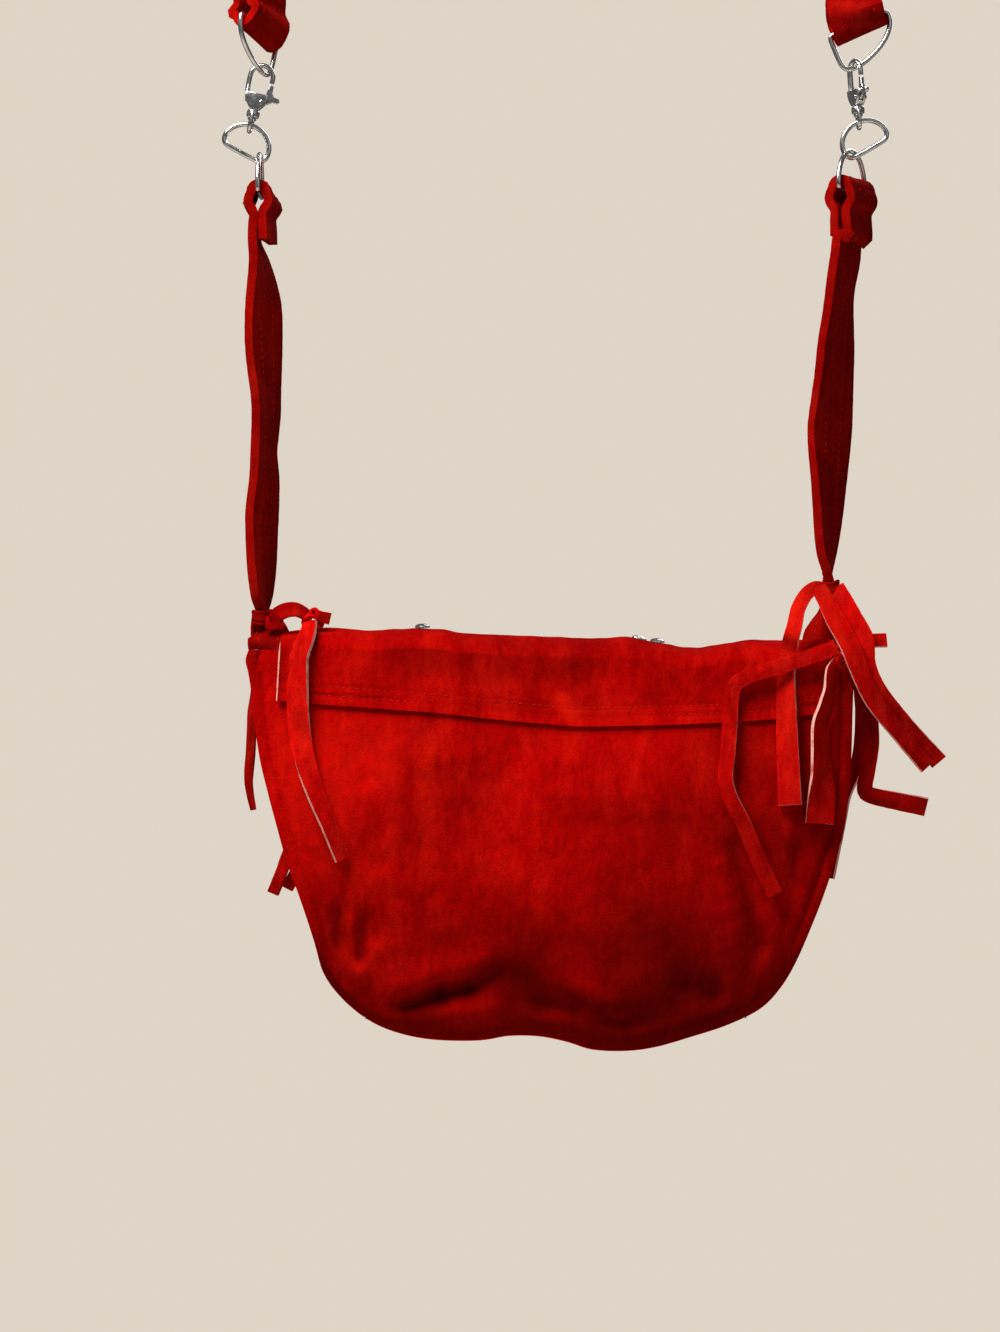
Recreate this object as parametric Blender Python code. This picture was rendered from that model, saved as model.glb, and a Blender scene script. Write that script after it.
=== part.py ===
import math

import bmesh
import bpy
from mathutils import Matrix, Vector

# A suede shoulder bag with tied tassels. Metres, +Z up. The bag's back faces -Y.
# The origin is the inner top of the shoulder strap, where the bag hangs.
# Every piece is modelled in the bag's own frame, whose z = 0 is the fold of the flap,
# and hung STRAP_DROP below the origin.

GAP = 0.0003  # between pieces that rest on each other
STRAP_DROP = 0.460
HALF_TURN = math.pi

BAG_HALF_WIDTH = 0.1295
BAG_DEPTH = 0.171  # from the panels' top edge to the bottom
PANEL_TOP = -0.006
SIDE_POWER = 3.3
BOTTOM_POWER = 2.35
HALF_THICK = 0.019  # the empty bag's half depth at its seams
BELLY = 0.006
BELLY_STARTS = 0.08
MOUTH_PINCH = 0.005
PINCH_ENDS = 0.07
SUEDE = 0.0017
FOLD_SAG = 0.0062  # the flap's fold and the mouth sag here, right of the middle
SAG_CENTRE = 0.046
SAG_REACH = 0.021
SAG_ENDS = 0.040
SEAM_PLAY = 0.0004  # between the panels' turned rims and the gusset
RIM_RADIUS = 0.0035
GUSSET_BOW = 0.0012
RIM_STEPS = 36  # the panels and the gusset share their points

FLAP_HALF_WIDTH = 0.1175
FLAP_SEW_SIDE = 0.030
FLAP_SEW_MIDDLE = 0.0385
FLAP_FRONT_SIDE = 0.050
FLAP_FRONT_MIDDLE = 0.118
FLAP_RISE = 0.0085
FLAP_PLAY = 0.0006  # between the flap and the panels it lies on
FLAP_CORNER_POWER = 2.6

STRAP_THICK = 0.003
STRAP_HALF_SPAN = BAG_HALF_WIDTH - 0.0015
STRAP_TAIL = 0.024
FOLD_PLAY = 0.0002
FOLD_PUFF = 0.0012  # how far the fold stands open below the ring's bar
NECK_WIDTH = 0.015
NECK_THICK = 0.0042
STRAP_INSIDE = 0.030  # how far the strap's sewn end goes down inside the bag

WIRE = 0.0012  # radius of every ring's wire
RING_HALF = 0.0137
STRAP_PLAY = 0.0015  # between the strap and the ring's inside
STRAP_WIDTH = 2 * (RING_HALF - WIRE) - STRAP_PLAY
RING_DEPTH = 0.0172
RING_CORNER = 0.0020
RING_LEAN = 0.009  # the upper rings are pulled this far out of true
LINK_PLAY = 0.0004  # more than GAP, where two wires cross askew
EYE_PLAY = 0.0006
DEE_HALF = 0.0103
DEE_DEPTH = 0.0128
DEE_CORNER = 0.0034

STUD_SHANK = 0.0013
STUD_PLAY = 0.00025
COLLAR_RADIUS = 0.0029
COLLAR_HALF = 0.0016
RIVET_RADIUS = 0.0020
RIVET_THICK = 0.0011
STIRRUP_WIRE = 0.0010
STIRRUP_HALF = 0.0036
BODY_HALF_THICK = 0.0022
BODY_NECK = 0.0019
BODY_HALF_WIDTH = 0.0047
BODY_TOP = 0.0090
CLAW_HALF = 0.00495
CLAW_WIRE = 0.00105
CLAW_CENTRE = 0.0165
CLAW_TIP = 0.0146
GATE_HALF_THICK = 0.0008
GATE_PLAY = 0.0003
GATE_PIVOT = (0.0026, 0.0054)
GATE_TOP = 0.0141  # its sloping end swings clear under the claw's tip
PIN_RADIUS = 0.00055
PIN_PLAY = 0.0002
PIN_HEAD = 0.0010
PIN_HEAD_THICK = 0.0004

STRIP_THICK = 0.0016
STRIP_PLAY = 0.0004
TIE_HEIGHT = 0.0065
NECK_PLAY = 0.0004
KNOT_SIZE = (0.0050, 0.0036, 0.0050)
DOME_RADIUS = 0.0032
DOME_RISE = 0.0018
DOME_RIM = 0.0005
STUD_LIFT = 0.0002  # more than GAP, over the fold's sag


def clear_scene():
    for thing in list(bpy.data.objects):
        bpy.data.objects.remove(thing, do_unlink=True)


def material(name, colour, roughness, metallic=0.0):
    made = bpy.data.materials.new(name)
    made.use_nodes = True
    shader = made.node_tree.nodes["Principled BSDF"]
    shader.inputs["Base Color"].default_value = (*colour, 1.0)
    shader.inputs["Roughness"].default_value = roughness
    shader.inputs["Metallic"].default_value = metallic
    return made


def red_suede():
    return material("red_suede", (0.45, 0.006, 0.002), 0.95)


def edge_suede():
    return material("strip_suede", (0.50, 0.012, 0.004), 0.95)


def silver_metal():
    return material("silver_metal", (0.78, 0.78, 0.76), 0.18, 1.0)


def dark_metal():
    return material("spring_steel", (0.45, 0.45, 0.44), 0.30, 1.0)


def new_object(name, mesh, finish):
    made = bpy.data.objects.new(name, mesh)
    bpy.context.collection.objects.link(made)
    made.data.materials.append(finish)
    made.data.shade_smooth()
    made.data.set_sharp_from_angle(angle=math.radians(40))
    made.location.z = -STRAP_DROP
    return made


def mesh_from(name, vertices, faces):
    mesh = bpy.data.meshes.new(name)
    mesh.from_pydata(vertices, [], faces)
    work = bmesh.new()
    work.from_mesh(mesh)
    bmesh.ops.recalc_face_normals(work, faces=work.faces)
    work.to_mesh(mesh)
    work.free()
    return mesh


def thicken(piece, thickness, side):
    wall = piece.modifiers.new("wall", "SOLIDIFY")
    wall.thickness = thickness
    wall.offset = side
    return piece


def signed_power(value, power):
    return math.copysign(abs(value) ** power, value)


def curve_through(points, steps):
    """A smooth curve through the points, with that many steps between each two."""
    ends = [points[0] * 2 - points[1], *points, points[-1] * 2 - points[-2]]
    made = []
    for i in range(1, len(ends) - 2):
        before, start, end, after = ends[i - 1 : i + 3]
        for step in range(steps):
            t = step / steps
            made.append(
                0.5
                * (
                    2 * start
                    + (end - before) * t
                    + (2 * before - 5 * start + 4 * end - after) * t * t
                    + (3 * start - before - 3 * end + after) * t * t * t
                )
            )
    made.append(points[-1])
    return made


# The bag's outline and the bulge of its panels


def outline(count, inset=0.0):
    """The half-moon from the right top corner round the bottom to the left top corner."""
    half = BAG_HALF_WIDTH - inset
    depth = BAG_DEPTH - inset
    fine = []
    for i in range(1601):
        turn = HALF_TURN * i / 1600
        fine.append(
            Vector(
                (
                    half * signed_power(math.cos(turn), 2 / SIDE_POWER),
                    PANEL_TOP - depth * math.sin(turn) ** (2 / BOTTOM_POWER),
                )
            )
        )
    return evenly(fine, count)


def evenly(line, count):
    run = [0.0]
    for a, b in zip(line, line[1:]):
        run.append(run[-1] + (b - a).length)
    made, at = [], 0
    for i in range(count + 1):
        want = run[-1] * i / count
        while at < len(run) - 2 and run[at + 1] < want:
            at += 1
        share = (want - run[at]) / max(run[at + 1] - run[at], 1e-12)
        made.append(line[at].lerp(line[at + 1], share))
    return made


def panel_depth(x, z):
    """How far a panel's outer face stands from the bag's middle plane."""
    down = max(PANEL_TOP - z, 0.0)
    across = min(abs(x) / BAG_HALF_WIDTH, 1.0)
    inside = min(across**SIDE_POWER + (down / BAG_DEPTH) ** BOTTOM_POWER, 1.0)
    belly = BELLY * (1 - inside**1.5) * min(1.0, down / BELLY_STARTS)
    pinch = MOUTH_PINCH * (1 - across**2) * max(0.0, 1 - down / PINCH_ENDS)
    return HALF_THICK + belly - pinch


def sagged(x, z):
    """A height near the mouth, lowered where the empty bag's top sags."""
    down = max(PANEL_TOP - z, 0.0)
    fade = max(0.0, 1 - down / SAG_ENDS) ** 2
    return z - FOLD_SAG * math.exp(-(((x - SAG_CENTRE) / SAG_REACH) ** 2)) * fade


def panel(name, side, finish):
    """A half-moon of suede. Its rim turns in to meet the gusset."""
    around, rings = RIM_STEPS, [0.0, 0.14, 0.27, 0.38, 0.49, 0.61, 0.75, 0.90]
    edge = outline(around)
    inner = outline(around, RIM_RADIUS)
    vertices, faces = [], []
    for share in rings:
        for point in inner:
            x = point.x * share
            z = PANEL_TOP + (point.y - PANEL_TOP) * share
            vertices.append((x, side * panel_depth(x, z), sagged(x, z)))
    for turn in (0.0, HALF_TURN / 6, HALF_TURN / 3, HALF_TURN / 2):
        for inside, outside in zip(inner, edge):
            spot = inside.lerp(outside, math.sin(turn))
            fall = RIM_RADIUS * (1 - math.cos(turn))
            vertices.append((spot.x, side * (panel_depth(*inside) - fall), spot.y))
    rows = len(rings) + 4
    for row in range(rows - 1):
        for i in range(around):
            a = row * (around + 1) + i
            faces.append((a, a + 1, a + around + 2, a + around + 1))
    mesh = mesh_from(name, vertices, faces)
    work = bmesh.new()
    work.from_mesh(mesh)
    bmesh.ops.remove_doubles(work, verts=work.verts, dist=1e-6)
    bmesh.ops.recalc_face_normals(work, faces=work.faces)
    middle = max(work.faces, key=lambda face: face.calc_area())
    if middle.normal.y * side < 0:
        bmesh.ops.reverse_faces(work, faces=work.faces)
    work.to_mesh(mesh)
    work.free()
    return thicken(new_object(name, mesh, finish), SUEDE, -1)


def gusset(finish):
    """The strip between the panels, bowed out a little along its middle."""
    around, across = RIM_STEPS, 4
    half = HALF_THICK - RIM_RADIUS - GAP - SEAM_PLAY
    line = outline(around)
    vertices, faces = [], []
    for i, point in enumerate(line):
        tangent = line[min(i + 1, around)] - line[max(i - 1, 0)]
        out = Vector((-tangent.y, tangent.x)).normalized()
        if out.dot(point - Vector((0, PANEL_TOP / 2))) < 0:
            out.negate()
        for j in range(across + 1):
            share = 2 * j / across - 1
            spot = point + out * GUSSET_BOW * (1 - share**2)
            vertices.append((spot.x, half * share, spot.y))
    for i in range(around):
        for j in range(across):
            a = i * (across + 1) + j
            faces.append((a, a + 1, a + across + 2, a + across + 1))
    mesh = mesh_from("gusset", vertices, faces)
    work = bmesh.new()
    work.from_mesh(mesh)
    work.faces.ensure_lookup_table()
    first = work.faces[0]
    if first.normal.x * first.calc_center_median().x < 0:
        bmesh.ops.reverse_faces(work, faces=work.faces)
    work.to_mesh(mesh)
    work.free()
    return thicken(new_object("gusset", mesh, finish), SUEDE, -1)


def flap(finish):
    """One sheet, sewn low on the back panel, over the mouth and down the front."""
    columns, back, over, front = 28, 4, 8, 7
    clear = FLAP_PLAY + SUEDE
    shoulder = PANEL_TOP + FLAP_PLAY
    vertices, faces = [], []
    for i in range(columns + 1):
        share = 2 * i / columns - 1
        x = FLAP_HALF_WIDTH * share
        sewn = -(
            FLAP_SEW_SIDE + (FLAP_SEW_MIDDLE - FLAP_SEW_SIDE) * (1 - share * share)
        )
        drop = FLAP_FRONT_SIDE + (FLAP_FRONT_MIDDLE - FLAP_FRONT_SIDE) * (
            1 - abs(share) ** FLAP_CORNER_POWER
        ) ** (1 / 2)
        stand = panel_depth(x, shoulder) + clear
        for j in range(back):
            z = sewn + (shoulder - sewn) * j / back
            vertices.append((x, -(panel_depth(x, z) + clear), sagged(x, z)))
        for j in range(over + 1):
            turn = HALF_TURN * j / over
            z = sagged(x, shoulder + FLAP_RISE * math.sin(turn))
            vertices.append((x, -stand * math.cos(turn), z))
        for j in range(1, front + 1):
            z = shoulder + (-drop - shoulder) * j / front
            vertices.append((x, panel_depth(x, z) + clear, sagged(x, z)))
    rows = back + over + 1 + front
    for i in range(columns):
        for j in range(rows - 1):
            a = i * rows + j
            faces.append((a, a + 1, a + rows + 1, a + rows))
    mesh = mesh_from("flap", vertices, faces)
    work = bmesh.new()
    work.from_mesh(mesh)
    work.faces.ensure_lookup_table()
    if work.faces[0].normal.y > 0:
        bmesh.ops.reverse_faces(work, faces=work.faces)
    work.to_mesh(mesh)
    work.free()
    return thicken(new_object("flap", mesh, finish), SUEDE, -1)


def dome_stud(name, x, turn, finish):
    """A domed stud that sits on the flap's fold, turned that far over it."""
    stand = panel_depth(x, PANEL_TOP) + FLAP_PLAY + SUEDE
    angle = math.radians(turn)
    seat = Vector(
        (
            x,
            -stand * math.cos(angle),
            sagged(x, PANEL_TOP + FLAP_PLAY + FLAP_RISE * math.sin(angle)),
        )
    )
    beside = DOME_RADIUS / 2
    climb = sagged(x + beside, seat.z) - sagged(x - beside, seat.z)
    slope = climb / (2 * beside)
    rise = math.sin(angle) / FLAP_RISE
    normal = Vector((-slope * rise, -math.cos(angle) / stand, rise))
    normal.normalize()
    profile = [(0.0, 0.0), (DOME_RADIUS, 0.0), (DOME_RADIUS, DOME_RIM)]
    for step in range(1, 6):
        a = HALF_TURN / 2 * step / 5
        height = DOME_RIM + (DOME_RISE - DOME_RIM) * math.sin(a)
        profile.append((DOME_RADIUS * math.cos(a), height))
    mesh = turned(name, profile, 16)
    turn_to = Vector((0, 0, 1)).rotation_difference(normal).to_matrix().to_4x4()
    mesh.transform(Matrix.Translation(seat + normal * (GAP + STUD_LIFT)) @ turn_to)
    return new_object(name, mesh, finish)


def turned(name, profile, count):
    """A closed solid turned round Z from a profile of radius and height."""
    vertices, faces, rows = [], [], []
    for radius, height in profile:
        if radius < 1e-7:
            vertices.append((0.0, 0.0, height))
            rows.append([len(vertices) - 1])
            continue
        row = []
        for i in range(count):
            a = 2 * HALF_TURN * i / count
            vertices.append((radius * math.cos(a), radius * math.sin(a), height))
            row.append(len(vertices) - 1)
        rows.append(row)
    for low, high in zip(rows, rows[1:]):
        for i in range(count):
            k = (i + 1) % count
            corners = [low[i % len(low)], low[k % len(low)], high[k % len(high)]]
            corners.append(high[i % len(high)])
            unique = list(dict.fromkeys(corners))
            if len(unique) > 2:
                faces.append(unique)
    return mesh_from(name, vertices, faces)


# Straps and strips


def ribbon(name, stations, finish, corner=0.0):
    """A closed band through stations of place, width direction, width and thickness."""
    vertices, faces = [], []
    count = len(stations)
    for i, (place, across, width, thick) in enumerate(stations):
        ahead = stations[min(i + 1, count - 1)][0] - stations[max(i - 1, 0)][0]
        face = ahead.cross(across).normalized()
        half, deep = width / 2, thick / 2
        if corner:
            cut = min(corner, deep * 0.7)
            section = [
                (half - cut, deep), (half, deep - cut), (half, cut - deep),
                (half - cut, -deep), (cut - half, -deep), (-half, cut - deep),
                (-half, deep - cut), (cut - half, deep),
            ]
        else:
            section = [(half, deep), (half, -deep), (-half, -deep), (-half, deep)]
        for u, v in section:
            vertices.append(place + across * u + face * v)
    size = len(section)
    for i in range(count - 1):
        for j in range(size):
            k = (j + 1) % size
            a, b = i * size, (i + 1) * size
            faces.append((a + j, a + k, b + k, b + j))
    faces.append(tuple(range(size)))
    faces.append(tuple(range((count - 1) * size, count * size)))
    return new_object(name, mesh_from(name, vertices, faces), finish)


def strip(name, route, widths, finish, facing=(0, -1, 0), steps=3):
    """A cut strip of suede along a route, flat towards where it faces."""
    line = curve_through([Vector(point) for point in route], steps)
    stations = []
    for i, place in enumerate(line):
        ahead = line[min(i + 1, len(line) - 1)] - line[max(i - 1, 0)]
        across = ahead.cross(Vector(facing)).normalized()
        share = i / (len(line) - 1)
        width = widths[0] + (widths[1] - widths[0]) * min(1.0, share * 1.6)
        stations.append((place, across, width, STRIP_THICK))
    return ribbon(name, stations, finish)


def fold_round(bar, along, up, toward_tail, tail, pull):
    """The strap's end round a ring's bar: back down the tail, over, and away again."""
    radius = WIRE + GAP + STRAP_THICK / 2 + FOLD_PLAY
    closed = STRAP_THICK / 2 + GAP
    flat = (along - pull * along.dot(pull)).normalized()
    away = []
    for share in (0.22, 0.45, 0.7, 1.0):
        heading = (-up).lerp(pull, share).normalized()
        spread = radius + FOLD_PUFF if share < 0.3 else closed
        away.append((bar + heading * tail * share, spread, along.lerp(flat, share)))
    stations = [(p + toward_tail * out, w.normalized()) for p, out, w in away[::-1]]
    for step in range(9):
        a = HALF_TURN * step / 8
        place = bar + toward_tail * radius * math.cos(a) + up * radius * math.sin(a)
        stations.append((place, along))
    stations += [(p - toward_tail * out, w.normalized()) for p, out, w in away]
    return stations


def lower_strap(name, side, ring, run, finish):
    """Down from the lower ring to the bag, then inside against the gusset."""
    bar, along, toward_tail = ring
    up = Vector((0, 0, 1))
    fold = fold_round(bar, along, up, toward_tail, STRAP_TAIL, -up)
    stations = [(place, across, STRAP_WIDTH, STRAP_THICK) for place, across in fold]
    for out, z, turn, width, thick in run:
        angle = math.radians(turn)
        across = Vector((math.cos(angle), -math.sin(angle), 0))
        if across.dot(stations[-1][1]) < 0:
            across.negate()
        place = Vector((side * (BAG_HALF_WIDTH + out), 0, z))
        stations.append((place, across, width, thick))
    edge_on = Vector((0, math.copysign(1, stations[-1][1].y), 0))
    wall = BAG_HALF_WIDTH + GUSSET_BOW * 0.4 - SUEDE - GAP - SEAM_PLAY
    for down, width, thick in (
        (0.002, NECK_WIDTH, NECK_THICK),
        (0.012, STRAP_WIDTH * 0.85, STRAP_THICK),
        (STRAP_INSIDE, STRAP_WIDTH * 0.9, STRAP_THICK),
    ):
        place = Vector((side * (wall - thick / 2), 0, PANEL_TOP - down))
        stations.append((place, edge_on, width, thick))
    return ribbon(name, smooth_stations(stations), finish, corner=0.0009)


def smooth_stations(stations):
    """Steps of about 6 mm along the straight part, with width and turn eased between."""
    made = stations[:17]
    for before, after in zip(stations[16:], stations[17:]):
        length = (after[0] - before[0]).length
        steps = max(1, round(length / 0.009))
        for step in range(1, steps + 1):
            t = step / steps
            ease = t * t * (3 - 2 * t)
            across = before[1].lerp(after[1], ease).normalized()
            made.append(
                (
                    before[0].lerp(after[0], t),
                    across,
                    before[2] + (after[2] - before[2]) * ease,
                    before[3] + (after[3] - before[3]) * ease,
                )
            )
    return made


def upper_strap(left, right, finish):
    """One band from the left upper ring over the arch to the right upper ring."""
    radius = STRAP_HALF_SPAN
    top = STRAP_DROP - radius + STRAP_THICK / 2
    stations = []
    for side, ring in ((-1, left), (1, right)):
        bar, along, toward_tail = ring
        up = Vector((0, 0, 1))
        hang = -(up - along * up.dot(along)).normalized()
        folded = fold_round(bar, along, hang, toward_tail, STRAP_TAIL * 0.8, up)
        fold = [(place, across, STRAP_WIDTH, STRAP_THICK) for place, across in folded]
        rise_from = fold[-1][0]
        climb = []
        steps = 9
        for step in range(1, steps + 1):
            t = step / steps
            ease = t * t * (3 - 2 * t)
            z = rise_from.z + (top - rise_from.z) * t
            x = rise_from.x + (side * radius - rise_from.x) * ease
            y = rise_from.y * (1 - ease)
            target = Vector((0, math.copysign(1, along.y or 1), 0))
            across = fold[-1][1].lerp(target, ease).normalized()
            climb.append((Vector((x, y, z)), across, STRAP_WIDTH, STRAP_THICK))
        stations.append(fold + climb)
    left_side, right_side = stations
    arch = []
    for step in range(1, 24):
        a = HALF_TURN * (1 - step / 24)
        place = Vector((radius * math.cos(a), 0, top + radius * math.sin(a)))
        arch.append((place, left_side[-1][1], STRAP_WIDTH, STRAP_THICK))
    if right_side[-1][1].dot(left_side[-1][1]) < 0:
        right_side = [(p, -across, w, t) for p, across, w, t in right_side]
    whole = left_side + arch + right_side[::-1]
    return ribbon("upper_strap", whole, finish, corner=0.0009)


def neck_reach():
    """Half sizes, across and along the strap, of the middle of a band round its neck."""
    clear = GAP + NECK_PLAY + STRIP_THICK / 2
    return NECK_THICK / 2 + clear, NECK_WIDTH / 2 + clear


def tie(name, centre, finish):
    """A closed suede band round the strap's neck."""
    steps = 28
    out, ahead = neck_reach()
    vertices, faces = [], []
    for i in range(steps):
        a = 2 * HALF_TURN * i / steps
        path = Vector(
            (
                out * signed_power(math.cos(a), 0.5),
                ahead * signed_power(math.sin(a), 0.5),
                0,
            )
        )
        normal = Vector((math.cos(a), math.sin(a) * out / ahead * 1.6, 0)).normalized()
        for away, rise in ((-1, -1), (1, -1), (1, 1), (-1, 1)):
            spot = centre + path + normal * away * STRIP_THICK / 2
            vertices.append(spot + Vector((0, 0, rise * TIE_HEIGHT / 2)))
    for i in range(steps):
        for j in range(4):
            k = (j + 1) % 4
            a, b = i * 4, (i + 1) % steps * 4
            faces.append((a + j, a + k, b + k, b + j))
    return new_object(name, mesh_from(name, vertices, faces), finish)


def knot(name, centre, finish):
    """A small overhand knot: a closed lump with two crossing turns pressed into it."""
    work = bmesh.new()
    bmesh.ops.create_icosphere(work, subdivisions=2, radius=1.0)
    for vertex in work.verts:
        p = vertex.co
        groove = math.sin(3.2 * (p.x + p.z)) * 0.10 + math.sin(3.0 * (p.x - p.z)) * 0.06
        stretched = [a * b for a, b in zip(p, KNOT_SIZE)]
        vertex.co = centre + Vector(stretched) * (0.95 + groove * 0.6)
    mesh = bpy.data.meshes.new(name)
    work.to_mesh(mesh)
    work.free()
    return new_object(name, mesh, finish)


# Rings and clasps


def dee_path(half, depth, corner, lean=0.0):
    """A wire dee in a plane: bar along u at v = 0, arc up to v = depth."""
    path = []
    for i in range(4):
        a = -HALF_TURN / 2 + HALF_TURN / 2 * i / 3
        path.append(
            (half - corner + corner * math.cos(a), corner + corner * math.sin(a))
        )
    for i in range(1, 16):
        a = HALF_TURN * i / 16
        path.append((half * math.cos(a), corner + (depth - corner) * math.sin(a)))
    for i in range(4):
        a = HALF_TURN + HALF_TURN / 2 * i / 3
        path.append(
            (corner - half + corner * math.cos(a), corner + corner * math.sin(a))
        )
    return [(u + lean * (v / depth) ** 2.5, v) for u, v in path]


def wire_dee(name, origin, along, up, shape, finish, lean=0.0):
    """A closed ring of round wire, as a curve with a bevel."""
    half, depth, corner = shape
    curve = bpy.data.curves.new(name, "CURVE")
    curve.dimensions = "3D"
    curve.bevel_depth = WIRE
    curve.bevel_resolution = 2
    curve.use_fill_caps = True
    path = dee_path(half, depth, corner, lean)
    spline = curve.splines.new("POLY")
    spline.points.add(len(path) - 1)
    for point, (u, v) in zip(spline.points, path):
        point.co = (*(origin + along * u + up * v), 1.0)
    spline.use_cyclic_u = True
    made = bpy.data.objects.new(name, curve)
    bpy.context.collection.objects.link(made)
    curve.materials.append(finish)
    made.location.z = -STRAP_DROP
    return made


def plate(name, profile, half_thick, bevel=0.0):
    """A flat profile in the XZ plane, given a thickness along Y."""
    vertices, faces = [], []
    count = len(profile)
    for y in (-half_thick, half_thick):
        vertices += [(x, y, z) for x, z in profile]
    faces.append(tuple(range(count)))
    faces.append(tuple(range(2 * count - 1, count - 1, -1)))
    for i in range(count):
        k = (i + 1) % count
        faces.append((i, k, k + count, i + count))
    mesh = mesh_from(name, vertices, faces)
    if bevel:
        work = bmesh.new()
        work.from_mesh(mesh)
        rims = [e for e in work.edges if abs(e.verts[0].co.y - e.verts[1].co.y) < 1e-9]
        bmesh.ops.bevel(
            work, geom=rims, offset=bevel, segments=2, profile=0.6, affect="EDGES"
        )
        work.to_mesh(mesh)
        work.free()
    return mesh


def helper(name, mesh):
    """A cutter or a joined shape that isn't built by itself."""
    made = bpy.data.objects.new(name, mesh)
    bpy.context.collection.objects.link(made)
    made.hide_render = True
    made.display_type = "WIRE"
    return made


def combine(piece, other, operation):
    step = piece.modifiers.new(other.name, "BOOLEAN")
    step.object = other
    step.operation = operation
    step.solver = "EXACT"
    other.parent = piece
    return step


def rod(name, radius, low, high, count=16, along="Z"):
    mesh = turned(name, [(0, low), (radius, low), (radius, high), (0, high)], count)
    if along == "Y":
        mesh.transform(Matrix.Rotation(-HALF_TURN / 2, 4, "X"))
    return mesh


def claw_mesh(name):
    """The hook's bent bar, from inside the body up over the eye to its tip."""
    line = [(-0.0036, BODY_TOP - 0.004), (-CLAW_HALF + 0.0003, BODY_TOP)]
    line.append((-CLAW_HALF, (BODY_TOP + CLAW_CENTRE) / 2))
    for i in range(13):
        a = HALF_TURN * (1 - i / 12)
        line.append((CLAW_HALF * math.cos(a), CLAW_CENTRE + CLAW_HALF * math.sin(a)))
    line.append((CLAW_HALF, CLAW_TIP))
    sides = 12
    vertices, faces = [], []
    for i, (x, z) in enumerate(line):
        a, b = line[max(i - 1, 0)], line[min(i + 1, len(line) - 1)]
        ahead = Vector((b[0] - a[0], 0, b[1] - a[1])).normalized()
        out = Vector((ahead.z, 0, -ahead.x))
        deep = CLAW_WIRE * (1.25 - 0.25 * i / (len(line) - 1))
        for j in range(sides):
            turn = 2 * HALF_TURN * j / sides
            vertices.append(
                Vector((x, 0, z))
                + out * CLAW_WIRE * math.cos(turn)
                + Vector((0, deep * math.sin(turn), 0))
            )
    rows = len(line)
    for i in range(rows - 1):
        for j in range(sides):
            k = (j + 1) % sides
            a, b = i * sides, (i + 1) * sides
            faces.append((a + j, a + k, b + k, b + j))
    faces.append(tuple(range(sides)))
    faces.append(tuple(range((rows - 1) * sides, rows * sides)))
    return mesh_from(name, vertices, faces)


def hook(name, holder, finish):
    """Body, claw, swivel shank and rivet head in one casting, slotted for the gate."""
    low = COLLAR_HALF + GAP + 0.0001
    body = [
        (-BODY_NECK, low), (BODY_NECK, low), (0.0040, 0.0046), (BODY_HALF_WIDTH, 0.0074),
        (BODY_HALF_WIDTH - 0.0004, BODY_TOP), (-CLAW_HALF - 0.0002, BODY_TOP),
        (-BODY_HALF_WIDTH - 0.0003, 0.0068), (-0.0038, 0.0042),
    ]
    piece = new_object(name, plate(name, body, BODY_HALF_THICK, 0.0004), finish)
    rivet_top = -COLLAR_HALF - GAP - 0.0001
    shank = turned(
        name + "_shank",
        [
            (0, rivet_top - RIVET_THICK), (RIVET_RADIUS * 0.6, rivet_top - RIVET_THICK),
            (RIVET_RADIUS, rivet_top - RIVET_THICK * 0.4), (RIVET_RADIUS, rivet_top),
            (STUD_SHANK, rivet_top), (STUD_SHANK, low + 0.0012), (0, low + 0.0012),
        ],
        20,
    )
    combine(piece, helper(name + "_claw", claw_mesh(name + "_claw")), "UNION")
    combine(piece, helper(name + "_shank", shank), "UNION")
    slot_half = GATE_HALF_THICK + GATE_PLAY
    slot = plate(
        name + "_slot",
        [(-0.0018, 0.0036), (0.0080, 0.0036), (0.0080, 0.0130), (-0.0018, 0.0130)],
        slot_half,
    )
    combine(piece, helper(name + "_slot", slot), "DIFFERENCE")
    x, z = GATE_PIVOT
    hole = rod(name + "_hole", PIN_RADIUS + PIN_PLAY, -0.01, 0.01, 14, "Y")
    hole.transform(Matrix.Translation((x, 0, z)))
    combine(piece, helper(name + "_hole", hole), "DIFFERENCE")
    piece.location = (0, 0, 0)
    piece.parent = holder
    return piece


def gate(name, holder, finish):
    """The lever that closes the eye, with its thumb tab outside the body."""
    x, z = GATE_PIVOT
    profile = [
        (-0.0014, -0.0010), (0.0002, -0.0015), (0.0018, -0.0005), (0.0044, 0.0012),
        (0.0064, 0.0011), (0.0074, 0.0019), (0.0070, 0.0031), (0.0046, 0.0036),
        (0.0035, 0.0052), (0.0034, GATE_TOP - z - 0.0006), (0.0014, GATE_TOP - z),
        (0.0013, 0.0056), (0.0006, 0.0030), (-0.0012, 0.0014),
    ]
    piece = new_object(name, plate(name, profile, GATE_HALF_THICK, 0.0002), finish)
    hole = rod(name + "_hole", PIN_RADIUS + PIN_PLAY, -0.01, 0.01, 14, "Y")
    combine(piece, helper(name + "_hole", hole), "DIFFERENCE")
    piece.location = (x, 0, z)
    piece.parent = holder
    return piece


def gate_pin(name, holder, finish):
    head = BODY_HALF_THICK + GAP
    end = head + PIN_HEAD_THICK
    mesh = turned(
        name,
        [
            (0, -end), (PIN_HEAD, -end), (PIN_HEAD, -head), (PIN_RADIUS, -head),
            (PIN_RADIUS, head), (PIN_HEAD, head), (PIN_HEAD, end), (0, end),
        ],
        14,
    )
    mesh.transform(Matrix.Rotation(-HALF_TURN / 2, 4, "X"))
    piece = new_object(name, mesh, finish)
    piece.location = (GATE_PIVOT[0], 0, GATE_PIVOT[1])
    piece.parent = holder
    return piece


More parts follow.
